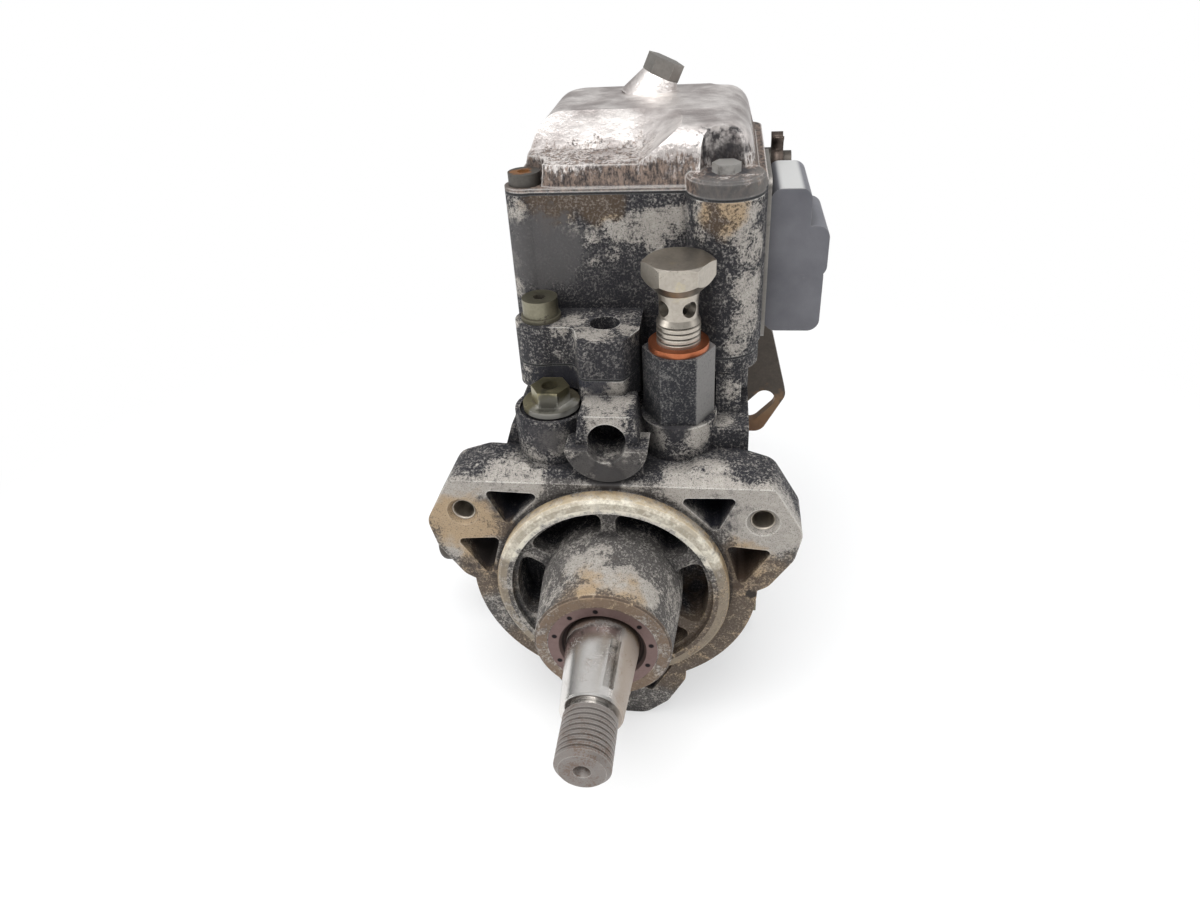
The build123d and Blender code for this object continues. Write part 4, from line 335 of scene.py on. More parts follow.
print("a grey of 128 is", round(rgb(128, 128, 128)[0], 3))

# %% [markdown]
# ## Studio
#
# The pump stands on white paper under a large soft light. The floor is pale by its own colour. Only for
# the camera and for reflections it also glows, a little near the pump and fully away from it, which
# brings the paper to white and keeps the shadow.

# %% Floor
floor_level = cad_box[0][2]
floor_half = 4000
paper_colour = (0.9, 0.9, 0.9, 1)
glow_colour = (1, 1, 1, 1)
shadow_middle = mm(0, 30, -57)
shadow_reach = 130
white_from = 340
glow_at_pump = 0.45
reflected_glow = 0.2

floor_mesh = bmesh.new()
bmesh.ops.create_grid(floor_mesh, x_segments=1, y_segments=1, size=floor_half * MM)
bmesh.ops.translate(floor_mesh, vec=(0, 0, floor_level), verts=floor_mesh.verts)
floor = fresh("floor", floor_mesh, None)

paper = Finish("white_paper")
paper_diffuse = paper.node("ShaderNodeBsdfDiffuse", {}, {"Color": paper_colour})
paper_glow = paper.node("ShaderNodeEmission", {}, {"Color": glow_colour, "Strength": 1.0})
seen_by_camera = paper.node("ShaderNodeLightPath", {}, {}, "Is Camera Ray")
seen_by_gloss = paper.node("ShaderNodeLightPath", {}, {}, "Is Glossy Ray")
seen_through = paper.node("ShaderNodeLightPath", {}, {}, "Is Transmission Ray")
paper_distance = paper.node("ShaderNodeVectorMath", {"operation": "DISTANCE"},
                            {0: paper.place, 1: shadow_middle}, "Value")
paper_far = paper.step(paper_distance, shadow_reach * MM, white_from * MM)
paper_seen = paper.most([seen_by_camera, seen_by_gloss * reflected_glow, seen_through * reflected_glow])
paper_share = paper_seen * (paper_far * (1 - glow_at_pump) + glow_at_pump)
paper.show(paper.node("ShaderNodeMixShader", {}, {0: paper_share, 1: paper_diffuse, 2: paper_glow}))
floor.data.materials.append(paper.material)
print("floor at", round(floor_level / MM, 2), "mm")

# %% [markdown]
# The light is one wide panel over the front, a weaker one on each side, and a grey world. Metal shows
# what surrounds it, so the world is darker at the horizon than overhead: that is what draws the dark
# bands down the shaft.

# %% Lamps
def lamp(name, place, target, size, power):
    """A square soft light at one point of the drawing, facing another."""
    data = bpy.data.lights.new(name, "AREA")
    data.size = size * MM
    data.energy = power
    made = bpy.data.objects.new(name, data)
    made.location = mm(*place)
    made.rotation_euler = (mm(*target) - made.location).to_track_quat("-Z", "Y").to_euler()
    bpy.context.scene.collection.objects.link(made)


lamp("panel_above", (-60, -260, 760), (0, 40, 20), size=600, power=5.2)
lamp("panel_left", (-620, -180, 300), (0, 20, 20), size=420, power=1.5)
lamp("panel_right", (620, 60, 420), (0, 40, 40), size=420, power=1.4)
print("lamps:", len(bpy.data.lights))

# %% World
room_colour = (0.98, 0.99, 1, 1)
horizon_strength = 0.14
overhead_strength = 0.86
overhead_from = 0.7

world = bpy.data.worlds.new("grey_room")
world.use_nodes = True
bpy.context.scene.world = world
room = world.node_tree.nodes
room_direction = room.new("ShaderNodeTexCoord")
room_height = room.new("ShaderNodeSeparateXYZ")
room_ramp = room.new("ShaderNodeMapRange")
room_ramp.inputs["From Min"].default_value = 0.0
room_ramp.inputs["From Max"].default_value = overhead_from
room_ramp.inputs["To Min"].default_value = horizon_strength
room_ramp.inputs["To Max"].default_value = overhead_strength
room["Background"].inputs["Color"].default_value = room_colour
world.node_tree.links.new(room_direction.outputs["Generated"], room_height.inputs[0])
world.node_tree.links.new(room_height.outputs["Z"], room_ramp.inputs["Value"])
world.node_tree.links.new(room_ramp.outputs["Result"], room["Background"].inputs["Strength"])

bpy.context.scene.view_settings.view_transform = "Standard"
print("world from", horizon_strength, "to", overhead_strength)

# %% [markdown]
# ## Black painted castings
#
# The pump housing and the actuator housing are aluminium castings under black paint. From a step away
# they look grey, because the cast skin is a field of small grains: the paint stays between them and the
# tops are rubbed bright. So the finish starts with grains, and wear only moves the level at which a grain
# shows metal. Ragged spots put the large bare patches where the real castings have them, and painted shade
# darkens the corners.
#
# The weights below say how far each pattern moves that level. The colours are what is found under a lamp:
# paint, the pale salt on it, the metal, and the brown that oil left; a near-black one is painted shade for
# the corners.

# %% What worn black paint is made of
ragged_wear = 0.9
cloud_wear = 0.5
patch_wear = 0.26
edge_wear = 0.10
front_wear = 0.06
corner_cover = 0.14
kept_cover = 0.12
bare_from = 0.50
bare_until = 0.68

salt_raggedness = 0.4
salt_from = 0.49
salt_until = 0.62
least_salt = 0.78
salt_on_patches = 0.2
salt_off_kept = 0.4

fresh_paint = rgb(24, 25, 31)
dusty_paint = rgb(54, 53, 56)
rubbed_paint = rgb(96, 92, 88)
oiled_paint = rgb(104, 84, 62)
salt_grey = rgb(146, 142, 138)
dull_metal = rgb(112, 107, 101)
pale_metal = rgb(206, 200, 192)
polished_metal = rgb(222, 218, 212)
oiled_metal = rgb(170, 142, 102)
pore_black = rgb(30, 28, 30)
# The next colour is painted shade for corners and overhangs.
painted_corner_shade = rgb(20, 20, 24)

pore_from = 0.44
pore_full = 0.36
ring_torn = 0.86
ring_whole = 0.62
ring_strength = 0.75
ring_grain = 0.4
front_blur = 0.6
paint_roughness = 0.62
bare_smoothness = 0.14
pore_roughness = 0.1
bare_metallic = 0.3
grain_height = 0.7
pore_height = 0.3
ragged_height = 0.8
skin_depth = 0.42
cast_gloss = 0.22
print("a grain of paint turns bare between", bare_from, "and", bare_until)


# %% Worn black paint
def worn_casting(name, spots, stains, dark_spots, wear, rubbed_until, touches, rings=()):
    """Cast metal under worn black paint. Spots are bare, stains brown, dark spots kept their paint.

    In front of rubbed_until, in millimetres behind the mounting face, hands and spanners rubbed the paint.
    """
    cast = Finish(name)
    cloud = cast.noise(13, detail=5, roughness=0.6)
    ragged = cast.noise(3.4, detail=12, roughness=0.74)
    grain = cast.noise(0.75, detail=6, roughness=0.78)
    pores = cast.noise(0.34, detail=3, roughness=0.6)
    mottle = cast.noise(1.6, detail=8, roughness=0.75)
    patches = cast.spots(spots, ragged)
    brown = cast.spots(stains, cloud)
    kept = cast.spots(dark_spots, cloud)
    edge = cast.edges(0.7)
    corner = cast.corners(8)
    front = cast.step(cast.axis("Y"), rubbed_until + front_blur, rubbed_until - front_blur)

    rub = (ragged - noise_middle) * ragged_wear + (cloud - noise_middle) * cloud_wear + patches * patch_wear
    rub = rub + edge * edge_wear - corner * corner_cover - kept * kept_cover + front * front_wear + wear
    bare = cast.step(grain + rub, bare_from, bare_until)
    salt = cast.step(grain + (ragged - noise_middle) * salt_raggedness, salt_from, salt_until)
    salt = salt * (least_salt + patches * salt_on_patches) * (1 - kept * salt_off_kept)

    paint = cast.layered(cast.mix(cloud, fresh_paint, dusty_paint), [
        (front, 0.6, rubbed_paint),
        (salt, 1.0, salt_grey)])
    metal = cast.layered(cast.mix(mottle, dull_metal, pale_metal), [
        (patches * edge, 1.0, polished_metal),
        (brown, 0.7, oiled_metal)])
    # The corner layer below is painted shade in corners and under overhangs.
    colour = cast.layered(cast.mix(bare, paint, metal), [
        (cast.step(pores, pore_from, pore_full), 0.7, pore_black),
        (corner, 0.8, painted_corner_shade),
        (brown * (1 - bare), 0.4, oiled_paint)])
    colour = cast.touched(colour, touches, ragged)
    torn_ring = cast.step(ragged + grain * ring_grain, ring_torn, ring_whole)
    colour = cast.ringed(colour, rings, torn_ring * ring_strength)
    roughness = paint_roughness - bare * bare_smoothness + pores * pore_roughness
    height = grain * grain_height + pores * pore_height + ragged * ragged_height
    return cast.finish(colour, roughness, bare * bare_metallic, height, depth=skin_depth, gloss=cast_gloss)


print("worn paint takes spots, stains, touches and rings")

# %% [markdown]
# The pump housing is read from its front. Its ears are bare round the holes, the nose is rubbed on top,
# and the windows keep their dark blue-black. Every spot is a point of the drawing and a radius, and a
# touch adds a tint. The pilot's rim was turned on a lathe, so its marks are rings. The points on a circle
# along the top of its rim are bright: a painted highlight.

# %% Where the pump housing is worn
ear_spots = [
    ((-42.4, 0, 24.5), 11), ((42.4, 0, 24.5), 11), ((-46.7, 0, 28.7), 6), ((-44, 0, 15), 7),
    ((-36, 0, 29), 5), ((48, 0, 22), 7), ((43, 0, 31), 6), ((36, 0, 25), 5), ((40, 0, 15), 5)]
nose_spots = [
    ((-2, -11, 21), 4.5), ((0, -19, 20), 4), ((-9, -13, 19), 4), ((-4, -16, 20), 3.5), ((7, -19, 19), 5),
    ((12, -20, 16), 4.5), ((-4, -24, 19.5), 3)]
boss_spots = [
    ((11, 13, 45), 6), ((25, 10, 45), 5), ((-14, 8, 45), 5), ((30, 20, 45), 4), ((32.5, 22, 52), 5),
    ((0, 3, 54), 6), ((0, 12, 55.5), 7), ((-16, 10, 46), 5)]
flange_spots = [((-30, 0, 30), 9), ((28, 0, 31), 10), ((-26, 3, 37), 9), ((24, 3, 38), 9), ((0, 0, 39), 9)]
flange_stains = [
    ((-44, 0, 22), 11), ((-35, 0, 20), 6), ((40, 0, 4), 12), ((34, 0, -14), 16), ((-38, 0, 2), 10),
    ((-20, 0, -34), 18), ((24, -2, -30), 16), ((0, -26, 12), 12), ((0, -26, -12), 14)]
kept_paint = [((0, 20, 50), 8), ((-34, 40, 20), 20), ((38, 60, 10), 30), ((0, 3, 41), 5), ((0, -12, 16), 5)]
navy = (30, 31, 40)
window_touches = [
    ((-31, 8, 27), 9, navy), ((31, 8, 27), 9, navy), ((-38, 9, 4), 9, (48, 44, 44)),
    ((38, 9, 4), 9, (74, 60, 50)), ((40, -1, -2), 2, (40, 36, 34)), ((0, 8, 48), 5.6, (24, 24, 30))]
boss_touches = [
    ((-6, 1, 42), 5, (38, 37, 40)), ((5, 1, 41), 5, (40, 39, 42)), ((0, 0, 38), 5, (52, 50, 51)),
    ((18, 12, 50), 5, (50, 49, 52)), ((-17, 8, 46), 5, (60, 58, 60)), ((-17, 24, 56), 7, (40, 40, 46)),
    ((-4, 16, 62), 6, (38, 40, 50)), ((0, 2, 37.5), 5, (66, 64, 64))]
print("spots on the ears:", len(ear_spots), "and on the nose:", len(nose_spots))


# %% The turned rim of the pilot
def round_shaft(radius, along, angles):
    """Points on a circle round the shaft axis, at angles in degrees from the top."""
    turns = [math.radians(angle) for angle in angles]
    return [(radius * math.sin(turn), along, radius * math.cos(turn)) for turn in turns]


rim_face = -5
# The bright touches round the top of the rim are a painted highlight.
rim_highlight_colour = (232, 226, 210)
painted_rim_highlight = [(point, 3.2, rim_highlight_colour) for point in round_shaft(32.8, rim_face, range(-64, 65, 8))]
rim_shine = [(point, 4.5) for point in round_shaft(32.6, rim_face, range(-48, 49, 12))]
machined_rings = [
    (31.0, 34.2, -5.5, -4.2, (150, 138, 120)),
    (33.2, 34.2, -4.2, -0.4, (168, 146, 112)),
    (33.2, 35.0, -0.4, 0.3, (44, 40, 38)),
    (15.2, 18.8, -26.5, -24.6, (126, 106, 88)),
    (18.3, 18.7, -26.5, -25.2, (52, 46, 42))]

pump_spots = ear_spots + nose_spots + boss_spots + flange_spots + rim_shine
pump_touches = window_touches + boss_touches + painted_rim_highlight
pump_paint = worn_casting("pump_housing_paint", pump_spots, flange_stains, kept_paint, wear=-0.05,
                          rubbed_until=1.5, touches=pump_touches, rings=machined_rings)
dress(pump_paint, "pump_housing", "timing_cover_left", "timing_cover_right")
print("spots on the pump housing:", len(pump_spots))

# %% [markdown]
# The actuator housing wears on its front, on the column at its right and on top of its foot. No hand rubs
# its front face, so the rubbed part ends far in front of it.

# %% Where the actuator housing is worn
front_spots = [
    ((-12.1, 36, 95.7), 3.4), ((-5, 36, 93.4), 3), ((0, 36, 94.8), 4.5), ((5.3, 36, 95.2), 4.8),
    ((10.7, 36, 95.5), 5), ((16, 36, 96.2), 5), ((19.7, 36, 98), 3.5), ((-0.5, 36, 87.8), 3),
    ((-5, 36, 85.2), 2.4), ((11.4, 36, 90.5), 3), ((-27.4, 38, 86), 3), ((-28.6, 38, 78), 3.5),
    ((-27, 36, 100), 4)]
column_spots = [
    ((22.8, 28, 100.9), 4), ((22.4, 28, 94.9), 3.4), ((32.3, 28, 103.3), 5), ((32, 28, 95.8), 4),
    ((35.6, 28, 100.7), 5), ((38, 30, 91.5), 6), ((37.5, 30, 80.6), 6), ((36.9, 30, 70.4), 6),
    ((34.4, 28, 64.4), 4), ((38.9, 30, 104.4), 5)]
foot_spots = [
    ((-10.6, 27.8, 71.8), 4.5), ((-4.3, 33.2, 71.8), 4.5), ((4.2, 32, 71.8), 5.5), ((6, 22.9, 71.8), 5),
    ((-2.4, 18.4, 71.8), 4.5), ((-14.3, 24.5, 71.8), 3.4), ((-26.3, 27.7, 71.8), 3), ((-8, 20, 71.8), 4)]
seam_stains = [((-17, 36, 103), 7), ((-3, 36, 103), 6), ((30, 28, 102), 6)]
shaded_paint = [((0, 36, 76), 13), ((-18, 36, 90), 9), ((24, 34, 76), 8), ((0, 15, 64), 8)]
grey_front = [((-20, 36, 88), 12, (84, 82, 82))]

actuator_spots = front_spots + column_spots + foot_spots
actuator_paint = worn_casting("actuator_housing_paint", actuator_spots, seam_stains, shaded_paint, wear=-0.11,
                              rubbed_until=-99, touches=grey_front)
dress(actuator_paint, "actuator_housing")
print("spots on the actuator housing:", len(actuator_spots))

# %% [markdown]
# ## Bright cover
#
# The cover is the same alloy, but bare. It is nearly white where a hand wipes it, and dark speckled dirt
# has baked on round its foot. The dirt starts at the foot and thins out upwards: its mask is the height
# over the foot, made ragged by two noises.

# %% Bare cast cover
speck_raggedness = 2.2
foot_raggedness = 1.6
dirt_full = 0.40
dirt_none = 0.85
stray_raggedness = 0.5
stray_from = 0.64
stray_full = 0.74
stray_strength = 0.6
cloud_from = 0.35
cloud_full = 0.65
crumb_from = 0.42
crumb_full = 0.6
wiped_metal = rgb(232, 226, 222)
cloudy_metal = rgb(164, 155, 152)
baked_dirt = rgb(38, 33, 33)
brown_dirt = rgb(132, 114, 102)
# The edge colour is a painted highlight along the cover's edges.
painted_edge_highlight = rgb(236, 232, 228)
wiped_roughness = 0.34
wiped_metallic = 0.72
dirt_roughness = 0.35
dirt_dullness = 0.6
speck_height = 0.12
swell_height = 2.2
hammer_height = 0.25
cover_depth = 0.9


def bare_casting(name, foot_level, dirt_height, touches):
    """Pale cast metal with dirt speckled over its foot and a painted highlight along its edges."""
    cast = Finish(name)
    cloud = cast.noise(17, detail=5, roughness=0.6)
    ragged = cast.noise(4, detail=9, roughness=0.7)
    speck = cast.noise(1.2, detail=10, roughness=0.8, stretch=(1.5, 1, 0.55))
    crumbs = cast.noise(1.6, detail=10, roughness=0.85, stretch=(1.4, 1, 0.6))
    rise = (cast.axis("Z") - foot_level) * (1 / dirt_height)
    rise = rise + (speck - noise_middle) * speck_raggedness + (ragged - noise_middle) * foot_raggedness
    dirt = cast.step(rise, dirt_none, dirt_full)
    stray = cast.step(speck + (ragged - noise_middle) * stray_raggedness, stray_from, stray_full)
    metal = cast.mix(cast.step(cloud, cloud_from, cloud_full), cloudy_metal, wiped_metal)
    grime = cast.mix(cast.step(crumbs, crumb_from, crumb_full), baked_dirt, brown_dirt)
    colour = cast.layered(metal, [
        (cast.most([dirt, stray * stray_strength]), 1.0, grime),
        (cast.edges(0.9), 0.6, painted_edge_highlight)])
    colour = cast.touched(colour, touches, ragged)
    roughness = wiped_roughness + dirt * dirt_roughness
    metallic = wiped_metallic - dirt * dirt_dullness
    height = speck * speck_height + cloud * swell_height + ragged * hammer_height
    return cast.finish(colour, roughness, metallic, height, depth=cover_depth)


# The two touches round the pocket over the column, at heights 112 and 116, are painted shade in that recess; the
# others are the dark paint on the column's rim and a brown tint by the left screw.
rim_paint_and_pocket_shade = [
    ((30, 27, 104), 9, (78, 76, 75)), ((39, 36, 104), 7, (92, 89, 86)), ((30, 36, 116), 7.5, (52, 50, 54)),
    ((30, 40, 112), 7, (40, 38, 42)), ((-27, 42, 108), 6, (88, 80, 74))]
dress(bare_casting("bare_cast_cover", foot_level=105, dirt_height=11, touches=rim_paint_and_pocket_shade), "actuator_cover")
print("touches on the cover:", len(rim_paint_and_pocket_shade))

# %% [markdown]
# ## Steels, zinc, copper
#
# Turned and rolled steel differ from a casting in two things: their grain runs round or along the piece,
# and they are true metals, so their colour is mostly what they reflect. Dirt is no metal: where it lies,
# the finish turns rough and dull.

# %% One function for the plain metals
grime_and_shade_black = rgb(44, 38, 33)
grime_from = 0.58
grime_full = 0.68
cloud_share = 0.6
line_share = 0.4
tarnish_roughness = 0.12
grime_roughness = 0.3
grime_dullness = 0.8
line_depth = 0.03
turned = (1, 12, 1)


def metal(name, light, dark, roughness, grime, grain=(1, 1, 1), touches=(), dots=(), rings=()):
    """Metal with grain, cloudy tarnish, smudged dirt, and painted shade in its corners."""
    steel = Finish(name)
    cloud = steel.noise(5, detail=6, roughness=0.6)
    lines = steel.noise(0.8, detail=4, roughness=0.6, stretch=grain)
    flecks = steel.noise(0.9, detail=6, roughness=0.7)
    smudge = steel.step(cloud * cloud_share + flecks * line_share, grime_from, grime_full)
    # dirt holds the smudges of dirt and the painted shade of the corners; grime scales both.
    dirt = steel.most([steel.corners(4), smudge]) * grime
    tarnish = steel.mix(cloud * cloud_share + lines * line_share, rgb(*dark), rgb(*light))
    colour = steel.layered(tarnish, [
        (steel.edges(0.35), 0.4, rgb(*light)),
        (dirt, 1.0, grime_and_shade_black)])
    colour = steel.touched(colour, touches, cloud)
    colour = steel.touched(colour, dots, noise_middle, strength=1.0)
    colour = steel.ringed(colour, rings)
    roughness = roughness + cloud * tarnish_roughness + dirt * grime_roughness
    return steel.finish(colour, roughness, 1 - dirt * grime_dullness, lines, depth=line_depth)


print("turned grain is stretched", turned)

# %% [markdown]
# The shaft is three things in a row: rust at the root of the taper where the seal ran, ground steel on
# the taper, and a darker thread at the end. The side of the keyway is browner than the rest.

# %% Shaft
taper_root = -27
root_wander = 5
root_front = 1
root_back = 2.5
thread_start = -49.6
thread_blur = 0.4
key_wander = 4
key_from = 4.0
key_full = 7.5
cloud_rust = 0.7
root_rust = 0.3
thread_rust = 0.1
rust_from = 0.60
rust_full = 0.72
ground_roughness = 0.17
worn_roughness = 0.33
worn_dullness = 0.45
line_height = 0.3
shaft_depth = 0.05

steel = Finish("shaft_steel")
cloud = steel.noise(6, detail=6, roughness=0.6)
lines = steel.noise(0.7, detail=5, roughness=0.6, stretch=(1, 10, 1))
pits = steel.noise(0.5, detail=6, roughness=0.75)
along = steel.axis("Y")
root = along + (cloud - noise_middle) * root_wander
root = steel.step(root, taper_root - root_front, taper_root + root_back)
thread = steel.step(along, thread_start + thread_blur, thread_start - thread_blur)
rust = pits + (cloud - noise_middle) * cloud_rust + root * root_rust + thread * thread_rust
rust = steel.step(rust, rust_from, rust_full)
key_side = steel.axis("X") + (cloud - noise_middle) * key_wander
key_side = steel.step(key_side, key_from, key_full) * (1 - thread)
ground = steel.mix(lines, rgb(186, 182, 178), rgb(228, 225, 221))
# The last layer is painted shade in the shaft's corners.
colour = steel.layered(ground, [
    (thread, 0.9, steel.mix(pits, rgb(58, 52, 50), rgb(142, 134, 128))),
    (root, 0.7, rgb(112, 86, 70)),
    (rust, 0.75, rgb(96, 74, 60)),
    (key_side, 0.7, rgb(128, 108, 88)),
    (steel.edges(0.3), 0.45, rgb(214, 210, 204)),
    (steel.corners(1.4), 0.6, rgb(44, 38, 34))])
worn = steel.most([root, thread, rust, key_side])
height = lines * line_height + pits * worn
roughness = ground_roughness + worn * worn_roughness
dress(steel.finish(colour, roughness, 1 - worn * worn_dullness, height, depth=shaft_depth), "drive_shaft")
print("shaft: rust behind", taper_root, "and thread before", thread_start)

# %% [markdown]
# The union is blackened steel with pale grains. Its face that turns to the right is painted greyer:
# painted light, where more light falls on it. Its corners get painted shade.

# %% Inlet union
right_face_from = 23.2
face_blur = 0.8
grain_from = 0.49
grain_full = 0.62
lit_face_paleness = 0.12
edge_paleness = 0.10
cloud_paleness = 0.2
union_roughness = 0.6
union_metallic = 0.4
union_depth = 0.3

steel = Finish("union_black")
cloud = steel.noise(6, detail=5)
grain = steel.noise(0.62, detail=6, roughness=0.78)
# The next mask marks the face turned to the right, which is painted lighter: painted light.
lit_right_face = steel.step(steel.axis("X"), right_face_from, right_face_from + face_blur)
pale = grain + lit_right_face * lit_face_paleness + steel.edges(0.6) * edge_paleness
pale = steel.step(pale + (cloud - noise_middle) * cloud_paleness, grain_from, grain_full)
colour = steel.layered(steel.mix(cloud, rgb(26, 27, 32), rgb(52, 52, 56)), [
    (lit_right_face, 0.6, rgb(120, 118, 118)),
    (pale, 0.7, rgb(138, 136, 133)),
    (steel.corners(5), 0.6, rgb(24, 24, 26))])
metallic = pale * union_metallic
dress(steel.finish(colour, union_roughness, metallic, grain, depth=union_depth, gloss=cast_gloss), "inlet_union")
print("union paler from", right_face_from, "mm")

# %% [markdown]
# The other metals differ only in their two colours, their roughness and how dirty they are. Touches put
# the tints of the photograph on single heads and faces.

# %% The mechanism inside: ground steel, bronze, springs and the coil
dress(metal("ground_steel", (206, 202, 196), (150, 146, 140), roughness=0.22, grime=0.3, grain=turned),
      "feed_pump_rotor", "feed_pump_vanes", "feed_pump_ring", "feed_pump_cover", "coupling_disc",
      "roller_ring", "roller_pins", "cam_plate", "plunger", "spring_yoke", "control_collar",
      "distributor_barrel", "shutoff_armature", "timing_piston", "timing_pin", "actuator_rotor",
      "pressure_valve_piston", *[f"cam_roller_{number}" for number in range(1, 5)],
      *[f"delivery_valve_{number}" for number in range(1, 5)])
dress(metal("bronze", (176, 140, 90), (120, 92, 56), roughness=0.35, grime=0.2), "shaft_bush")
dress(metal("spring_wire", (150, 150, 150), (100, 100, 100), roughness=0.3, grime=0.2),
      "plunger_springs", "delivery_springs", "shutoff_spring", "timing_spring", "pressure_valve_spring")
dress(metal("lacquered_wire", (150, 84, 44), (96, 50, 24), roughness=0.4, grime=0.2), "actuator_coil")
print("metals:", len(bpy.data.materials))

# %% Dark and grey steel outside
bracket_touches = [((50, 112, -6), 9, (142, 116, 92)), ((46, 112, -14), 8, (132, 104, 82)),
                   ((40, 112, -18), 8, (116, 92, 74))]
dress(metal("bracket_steel", (116, 108, 100), (62, 58, 56), roughness=0.5, grime=0.5,
            touches=bracket_touches), "support_bracket")
dress(metal("dark_steel", (104, 98, 92), (54, 51, 49), roughness=0.45, grime=0.5),
      "distributor_head", "head_plug", "delivery_holders", "actuator_core", "timing_valve",
      "return_pipe", "feed_pump_screws")
dress(metal("grey_steel", (180, 176, 170), (110, 106, 102), roughness=0.4, grime=0.6),
      "return_plug", "connector_plate")
dress(metal("copper", (202, 128, 92), (140, 76, 48), roughness=0.35, grime=0.3), "inlet_washer")
print("metals:", len(bpy.data.materials))

# %% Zinc and old screws
valve_touches = [((-17, 10, 52), 5, (176, 174, 168)), ((-11, 13, 52), 4, (168, 166, 160)),
                 ((-17, 11.5, 55), 3, (70, 68, 60))]
screw_touches = [((-24, 41, 108.5), 3, (158, 108, 62)), ((30, 38, 112), 6, (196, 194, 190))]
# The second bolt touch darkens the underside of the bolt's head: painted shade.
bolt_touches = [((18.5, 20, 106.5), 5, (176, 170, 178)), ((18.5, 14, 98.5), 4, (96, 88, 82)),
                ((18.5, 16, 88), 4, (196, 184, 150))]
dress(metal("yellow_zinc", (162, 157, 136), (88, 85, 74), roughness=0.38, grime=0.9),
      "shutoff_body", "timing_cover_screws", "housing_screws")
dress(metal("valve_zinc", (172, 164, 132), (92, 88, 72), roughness=0.34, grime=0.9, touches=valve_touches),
      "pressure_valve_body")
dress(metal("old_screws", (116, 112, 106), (62, 60, 60), roughness=0.45, grime=0.8, touches=screw_touches),
      "cover_screws")
dress(metal("dull_zinc", (210, 202, 190), (112, 106, 98), roughness=0.28, grime=0.9, touches=bolt_touches),
      "inlet_bolt")
print("metals:", len(bpy.data.materials))

# %% [markdown]
# The seal's steel case has a ring of small dimples, a dark line where it sits in the nose and another
# round the shaft. They are tints: rings and dots at known radii. The dark dots are painted shade in the
# dimples.

# %% Shaft seal
dimple_circle = 13.4
dimple_radius = 0.75
seal_face = -25.9
seal_back = -20
dimple_shade = (28, 24, 26)
seam_ring = (15.0, 15.4, taper_root, seal_back, (40, 34, 34))
lip_ring = (10.8, 11.3, taper_root, seal_back, (46, 38, 38))

dimple_turns = [math.radians(angle) for angle in (8, 40, 95, 128, 165, 205, 250, 300, 335)]
dimples = []
for turn in dimple_turns:
    place = (dimple_circle * math.cos(turn), seal_face, dimple_circle * math.sin(turn))
    dimples.append((place, dimple_radius, dimple_shade))
dress(metal("seal_case", (132, 112, 108), (92, 76, 74), roughness=0.45, grime=0.5, dots=dimples,
            rings=[seam_ring, lip_ring]), "shaft_seal")
print("dimples:", len(dimples))

# %% [markdown]
# ## Plastic and gaskets
#
# The connector is moulded in grey-black plastic: matt, with a faint grain, and paler where it is scuffed.
# Its top face catches the sky and is almost white in the photograph, so a level says from where it is
# pale.

# %% Plastic and rubber
scuff_grey = rgb(128, 128, 130)
plastic_corner_shade = rgb(30, 30, 31)
painted_top_highlight = rgb(200, 200, 198)
scuff_from = 0.60
scuff_full = 0.72
scuff_strength = 0.5
scuff_roughness = 0.2
pale_blur = 0.6
moulded_depth = 0.05
moulded_gloss = 0.3
never = 999


def moulded(name, light, dark, roughness, pale_from=never):
    """Matt moulded plastic or rubber, with painted shade in its corners and a painted highlight above a level.
    """
    plastic = Finish(name)
    cloud = plastic.noise(12, detail=4)
    scuff = plastic.step(plastic.noise(2.5, detail=8, roughness=0.7), scuff_from, scuff_full) * scuff_strength
    # The corner layer is painted shade, and the pale layer above a level is a painted highlight.
    colour = plastic.layered(plastic.mix(cloud, rgb(*dark), rgb(*light)), [
        (plastic.most([scuff, plastic.edges(0.5) * scuff_strength]), 1.0, scuff_grey),
        (plastic.corners(6), 0.5, plastic_corner_shade),
        (plastic.step(plastic.axis("Z"), pale_from, pale_from + pale_blur), 1.0, painted_top_highlight)])
    grain = plastic.noise(0.35, detail=2)
    roughness = roughness + scuff * scuff_roughness
    return plastic.finish(colour, roughness, 0.0, grain, depth=moulded_depth, gloss=moulded_gloss)


dress(moulded("connector_plastic", (122, 122, 127), (80, 80, 86), roughness=0.42, pale_from=98.9),
      "connector_body")
dress(moulded("gasket_rubber", (40, 40, 40), (22, 22, 22), roughness=0.7), "actuator_gasket", "cover_gasket")
print("materials in all:", len(bpy.data.materials))

# %% [markdown]
# ## Small pieces that the solids leave out
#
# The threads in the ears and the hose clip are too fine for the drawing, so they are made here. The first
# is a turned profile: a closed list of points, carried round an axis.

# %% A turned piece
def turned_piece(name, body, centre, axis, profile, steps, material):
    """Spin a closed profile of (radius, height) points round an axis through a point of the drawing."""
    mesh = bmesh.new()
    points = [mesh.verts.new((radius * MM, 0, height * MM)) for radius, height in profile]
    rim = [mesh.edges.new((first, second)) for first, second in zip(points, points[1:] + points[:1])]
    bmesh.ops.spin(mesh, geom=points + rim, cent=(0, 0, 0), axis=(0, 0, 1), angle=math.tau, steps=steps,
                   use_merge=True)
    bmesh.ops.recalc_face_normals(mesh, faces=mesh.faces)
    turn = Vector((0, 0, 1)).rotation_difference(Vector(axis)).to_matrix().to_4x4()
    bmesh.ops.transform(mesh, matrix=Matrix.Translation(mm(*centre)) @ turn, verts=mesh.verts)
    fresh(name, mesh, body).data.materials.append(material)


print("a turned piece is a profile carried round by", round(math.tau, 3), "radians")

# %% [markdown]
# A thread seen in a hole is a row of crests and roots. Turned rings without a lead look the same from
# outside, and they close on themselves.

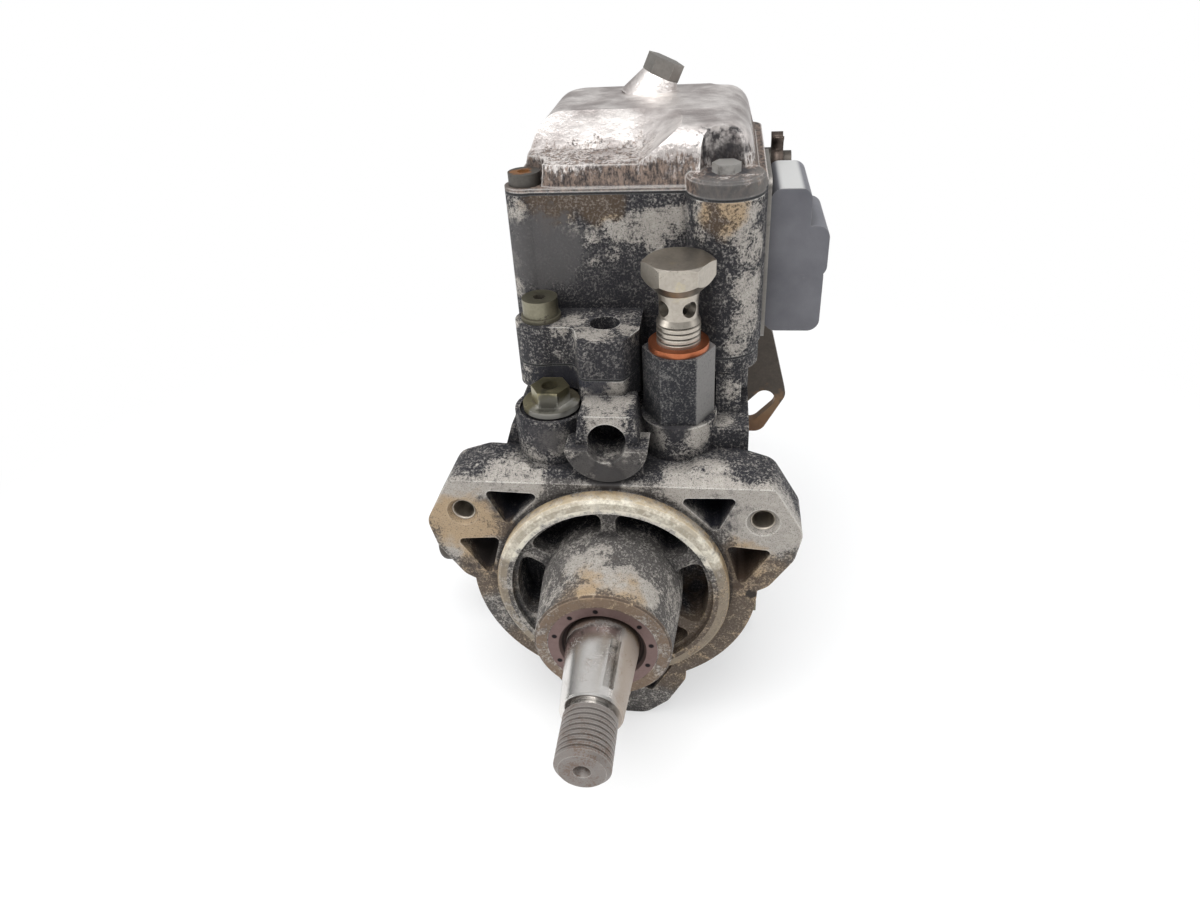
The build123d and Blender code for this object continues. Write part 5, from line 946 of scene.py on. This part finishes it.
# %% Threads in the three ears
ear_distance = 49
ear_turns = [math.radians(angle) for angle in (30, 150, 270)]
ear_hole_radius = 3.4
thread_depth = 0.55
thread_pitch = 1.25
thread_count = 8
thread_front = 1.2
root_play = 0.12
wall_play = 0.03
ring_steps = 32


def thread_profile(hole, crest, pitch, count):
    """Saw-tooth wall inside a hole: crests at the smaller radius, roots near the hole's wall."""
    teeth = []
    for tooth in range(count):
        teeth += [(hole - root_play, tooth * pitch), (crest, (tooth + 0.5) * pitch)]
    end = count * pitch
    return teeth + [(hole - root_play, end), (hole - wall_play, end), (hole - wall_play, 0)]


thread_steel = metal("thread_steel", (216, 208, 196), (150, 142, 130), roughness=0.45, grime=0.0)
ear_profile = thread_profile(ear_hole_radius, ear_hole_radius - thread_depth, thread_pitch, thread_count)
for number, turn in enumerate(ear_turns, start=1):
    hole = (ear_distance * math.cos(turn), thread_front, ear_distance * math.sin(turn))
    turned_piece(f"ear_thread_{number}", "housing", hole, (0, 1, 0), ear_profile, ring_steps,
                 thread_steel)
print("threaded ears:", len(ear_turns))

# %% [markdown]
# The spring clip on the stub pipe is one strip of steel: it runs round the pipe and stands up in two
# ears. The strip is a centre line with a thickness laid to both sides of it, and a width along the pipe.

# %% A strip
def side_of(line, side, offset):
    """The centre line shifted to one side by an offset. side is 1 or -1."""
    shifted = []
    for place, point in enumerate(line):
        before = Vector(line[max(place - 1, 0)])
        after = Vector(line[min(place + 1, len(line) - 1)])
        along = (after - before).normalized()
        shifted.append(Vector(point) + Vector((-along.y, along.x)) * side * offset)
    return shifted


def strip(name, body, centre, line, thickness, width, material):
    """Give a centre line in the YZ plane a thickness and a width along X."""
    mesh = bmesh.new()
    outline = side_of(line, 1, thickness / 2) + side_of(line, -1, thickness / 2)[::-1]
    loops = [[mesh.verts.new(mm(centre[0] + x, centre[1] + at.x, centre[2] + at.y)) for at in outline]
             for x in (-width / 2, width / 2)]
    count = len(outline)
    for place in range(count):
        following = (place + 1) % count
        mesh.faces.new((loops[0][place], loops[0][following], loops[1][following], loops[1][place]))
    for place in range(len(line) - 1):
        mirror = count - 1 - place
        for loop in loops:
            mesh.faces.new((loop[place], loop[place + 1], loop[mirror - 1], loop[mirror]))
    bmesh.ops.recalc_face_normals(mesh, faces=mesh.faces)
    fresh(name, mesh, body).data.materials.append(material)


print("a strip has two walls, a face along each side and two ends")

# %% Hose clip
clip_centre = (45.6, 90, 96.9)
clip_radius = 4.7
clip_thickness = 0.8
clip_width = 3.6
clip_start = 108
clip_step = 9
clip_steps = 36
clip_ear = [(-3.4, 8.6), (-1.7, 7.2), (-1.5, 5.6)]

clip_turns = [math.radians(clip_start + clip_step * number) for number in range(clip_steps + 1)]
clip_round = [(clip_radius * math.cos(turn), clip_radius * math.sin(turn)) for turn in clip_turns]
clip_line = clip_ear + clip_round + [(-across, height) for across, height in reversed(clip_ear)]
clip_steel = metal("clip_steel", (120, 108, 100), (60, 52, 48), roughness=0.45, grime=0.6)
strip("hose_clip", "housing", clip_centre, clip_line, clip_thickness, clip_width, clip_steel)
print("the clip's inside is", 2 * clip_radius - clip_thickness, "mm wide")

# %% [markdown]
# ## Finish
